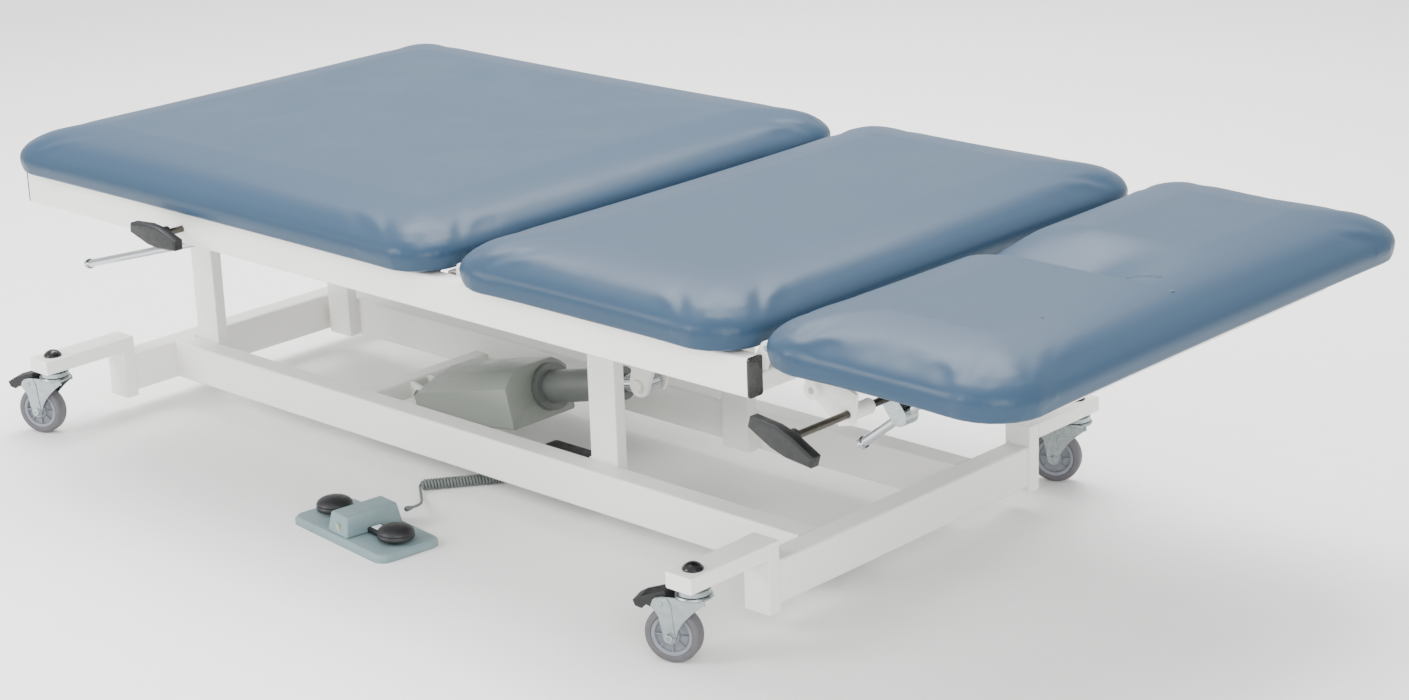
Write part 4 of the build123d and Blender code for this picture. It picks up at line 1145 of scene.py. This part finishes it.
    def brake(self) -> None:
        """Foot lever with a toothed top and a lip at its end."""
        bm = bmesh.new()
        count, first, pitch, climb = 9, 68, 3.6, 1.15
        foot, tip = 88.4, 90.2
        teeth = []
        for k in range(count):
            x, up = first - pitch * k, climb * k
            teeth += [(x, foot + up), (x - 1.2, tip + up), (x - 2.6, tip + up)]
        outline = [(31, 79), (46, 79), (52, 75), (60, 78), (66, 72), (75, 75), (78, 83), (70, 88)] + teeth
        outline += [(34, 99), (31, 88)]
        clear = 1.5 * MM
        self.side(outline, -self.inside + clear, 2 * (self.inside - clear), bm)
        piece = piece_from(f"{self.corner}_toothed_brake", bm)
        round_edges(piece, 0.6 * MM)
        dress(piece, NYLON, f"{self.corner}_lever", "black_plastic", f"{self.corner}_brake")

    def build(self) -> None:
        """Make the caster's moving pieces."""
        self.fork()
        self.wheel()
        self.brake()


# ---------------------------------------------------------------- steelwork and mechanics
@dataclass
class Steelwork:
    """Carried-over frames, rods and plugs with their finishes, and the weld beads on the base."""

    bead: float = 4.0 * MM
    post_width: float = 53 * MM
    stand_off: float = 0.5 * MM

    def carry(self, finish: Finish, *nodes: str) -> None:
        """Give CAD nodes that keep their shape their finish.

        Args:
            finish: What they are made of.
            *nodes: Their names.
        """
        for node in nodes:
            data = frame["nodes"][node]
            if not data.material_slots:
                data.data.materials.append(None)
            for slot in data.material_slots:
                slot.material = finish.material()

    def welds(self) -> None:
        """Run weld beads round the foot of each lift post and outrigger post."""
        paths = []
        low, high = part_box("lift_posts")
        rails_low, rails_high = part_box("base_side_rails")
        for x in (low[0], high[0] - self.post_width):
            for sign in (-1, 1):
                outer = sign * high[1]
                for end in (x - self.stand_off, x + self.post_width + self.stand_off):
                    paths.append([(end, outer, rails_low[2] + 6 * MM), (end, outer, rails_high[2])])
        posts_low, posts_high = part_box("outriggers")
        rail_low, rail_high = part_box("base_cross_members")
        for x in (posts_low[0], posts_high[0]):
            for sign in (-1, 1):
                y = sign * rail_high[1]
                inward = 1 if x == posts_low[0] else -1
                for inset in (3 * MM, 38 * MM):
                    end = x + inward * inset
                    paths.append([(end, y, rail_low[2] + 3 * MM), (end, y, rail_high[2])])
        row = Row(spacing=2.4 * MM, width=self.bead, height=self.bead, length=4.2 * MM, finish=POWDER)
        dress(row.along("base_welds", paths), POWDER, "base", "white_powder_coat")

    def build(self) -> None:
        """Dress every carried-over node and add the welds."""
        self.carry(
            POWDER, "base_side_rails", "base_cross_members", "outriggers", "lift_posts", "foot_swing_frame",
            "head_swing_frame", "lift_lever", "top_rails", "top_cross_tubes", "top_lugs",
            "foot_section_frame", "head_section_frame",
        )
        self.carry(
            ZINC, "base_pins", "top_pins", "caster_stems", "foot_rod_clamp", "head_rod_clamp",
            "actuator_motor",
        )
        self.carry(CHROME, "foot_support_rod", "head_support_rod", "actuator_rod")
        self.carry(DARK_STEEL, "foot_lock_shaft", "head_lock_shaft")
        self.carry(CAP, "stem_caps", "rail_plugs")
        self.carry(DUST_CLOTH, "foot_board", "mid_board", "head_board")
        self.carry(TUBE_GREY, "actuator_tube")
        softened("head_lock_plates", POWDER, "white_powder_coat", 0.8 * MM)
        softened("actuator_housing", CASING, "grey_plastic", 3.5 * MM)
        softened("control_box", NYLON, "black_plastic", 1.5 * MM)
        softened("foot_lock_handle", NYLON, "black_plastic", 1.6 * MM)
        softened("head_lock_handle", NYLON, "black_plastic", 1.6 * MM)
        self.welds()


@dataclass
class FootControl:
    """Foot control's casing, with its light window and a plain tab beside one dome."""

    turn: float = math.radians(-6.5)
    window: Point = (8 * MM, 2 * MM, 12 * MM)

    def place(self) -> Matrix:
        """Control's own frame, on the floor below its middle.

        Returns:
            The frame's place.
        """
        low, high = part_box("pedal_cover")
        middle = ((low[0] + high[0]) / 2, (low[1] + high[1]) / 2, 0)
        return Matrix.Translation(middle) @ Matrix.Rotation(self.turn, 4, "Z")

    def block(self, name: str, centre: Point, size: Point, finish: Finish, slot: str, lean: float) -> None:
        """Set one small rounded block on the control, leaning back by lean degrees.

        Args:
            name: The piece's name.
            centre: Its middle in the control's frame.
            size: Its three sides.
            finish: What it is made of.
            slot: The record's material slot.
            lean: How far it leans back, in degrees.
        """
        bm = bmesh.new()
        bmesh.ops.create_cube(bm, size=1.0)
        tilt = Matrix.Rotation(math.radians(lean), 4, "X")
        place = self.place() @ Matrix.Translation(centre) @ tilt @ Matrix.Diagonal((*size, 1))
        bmesh.ops.transform(bm, matrix=place, verts=bm.verts)
        piece = piece_from(name, bm)
        round_edges(piece, min(size) * 0.3, 3)
        dress(piece, finish, "base", slot)

    def dome(self, node: str) -> None:
        """Turn one rubber dome with a rim line, on the button's own body.

        Args:
            node: The button's CAD node.
        """
        low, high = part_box(node)
        place = Matrix.Translation(((low[0] + high[0]) / 2, (low[1] + high[1]) / 2, 0))
        radius = (high[0] - low[0]) / 2 - 0.4 * MM
        foot, rim, top = low[2], 24 * MM, high[2] - 2.5 * MM
        stalk, skirt, shoulder = 5 * MM, 17.6 * MM, rim + 1.2 * MM
        crown, steps = radius - 0.3 * MM, 10
        profile = [(0, foot), (stalk, foot), (stalk, skirt), (radius - 1 * MM, skirt), (radius, 19 * MM),
                   (radius, rim), (radius - 0.8 * MM, rim + 0.3 * MM), (radius - 0.8 * MM, rim + 0.9 * MM),
                   (crown, shoulder)]
        for k in range(1, steps + 1):
            turn = math.pi / 2 * k / steps
            profile.append((crown * math.cos(turn), shoulder + (top - shoulder) * math.sin(turn)))
        bm = bmesh.new()
        spin(bm, profile, place, 48)
        dress(piece_from(node + "_dome", bm), DOME, body_of(node), "black_plastic", node)

    def build(self) -> None:
        """Make the casing and its small pieces."""
        for button in ("pedal_down_button", "pedal_up_button"):
            self.dome(button)
        softened("pedal_base", PEDAL, "pedal_plastic", 2.0 * MM)
        softened("pedal_cover", PEDAL, "pedal_plastic", 2.5 * MM)
        face = -47 * MM
        self.block("light_window", (2 * MM, face, 24 * MM), self.window, WINDOW, "pedal_plastic", 10)
        self.block("tab_frame", (38 * MM, -2 * MM, 17 * MM), (26 * MM, 24 * MM, 8 * MM), NYLON,
                   "black_plastic", 0)
        self.block("tab_face", (37 * MM, -2 * MM, 21.2 * MM), (15 * MM, 14 * MM, 1.6 * MM), TAB,
                   "pedal_plastic", 0)


def main() -> None:
    """Build the whole scene in order."""
    logging.basicConfig(level=logging.INFO, format="%(message)s")
    Stage().build()
    PedalCord().build()
    reach = 6 * MM
    Cushion("foot_cushion", head_reach=reach).build()
    Cushion("mid_cushion", foot_reach=reach, head_reach=reach).build()
    head = Cushion("head_cushion", foot_reach=reach, hollow=Hollow()).build()
    HollowDetails(head).build()
    for corner in ("near_foot", "far_foot", "near_head", "far_head"):
        Caster(corner).build()
    Steelwork().build()
    FootControl().build()


if __name__ == "__main__":
    main()
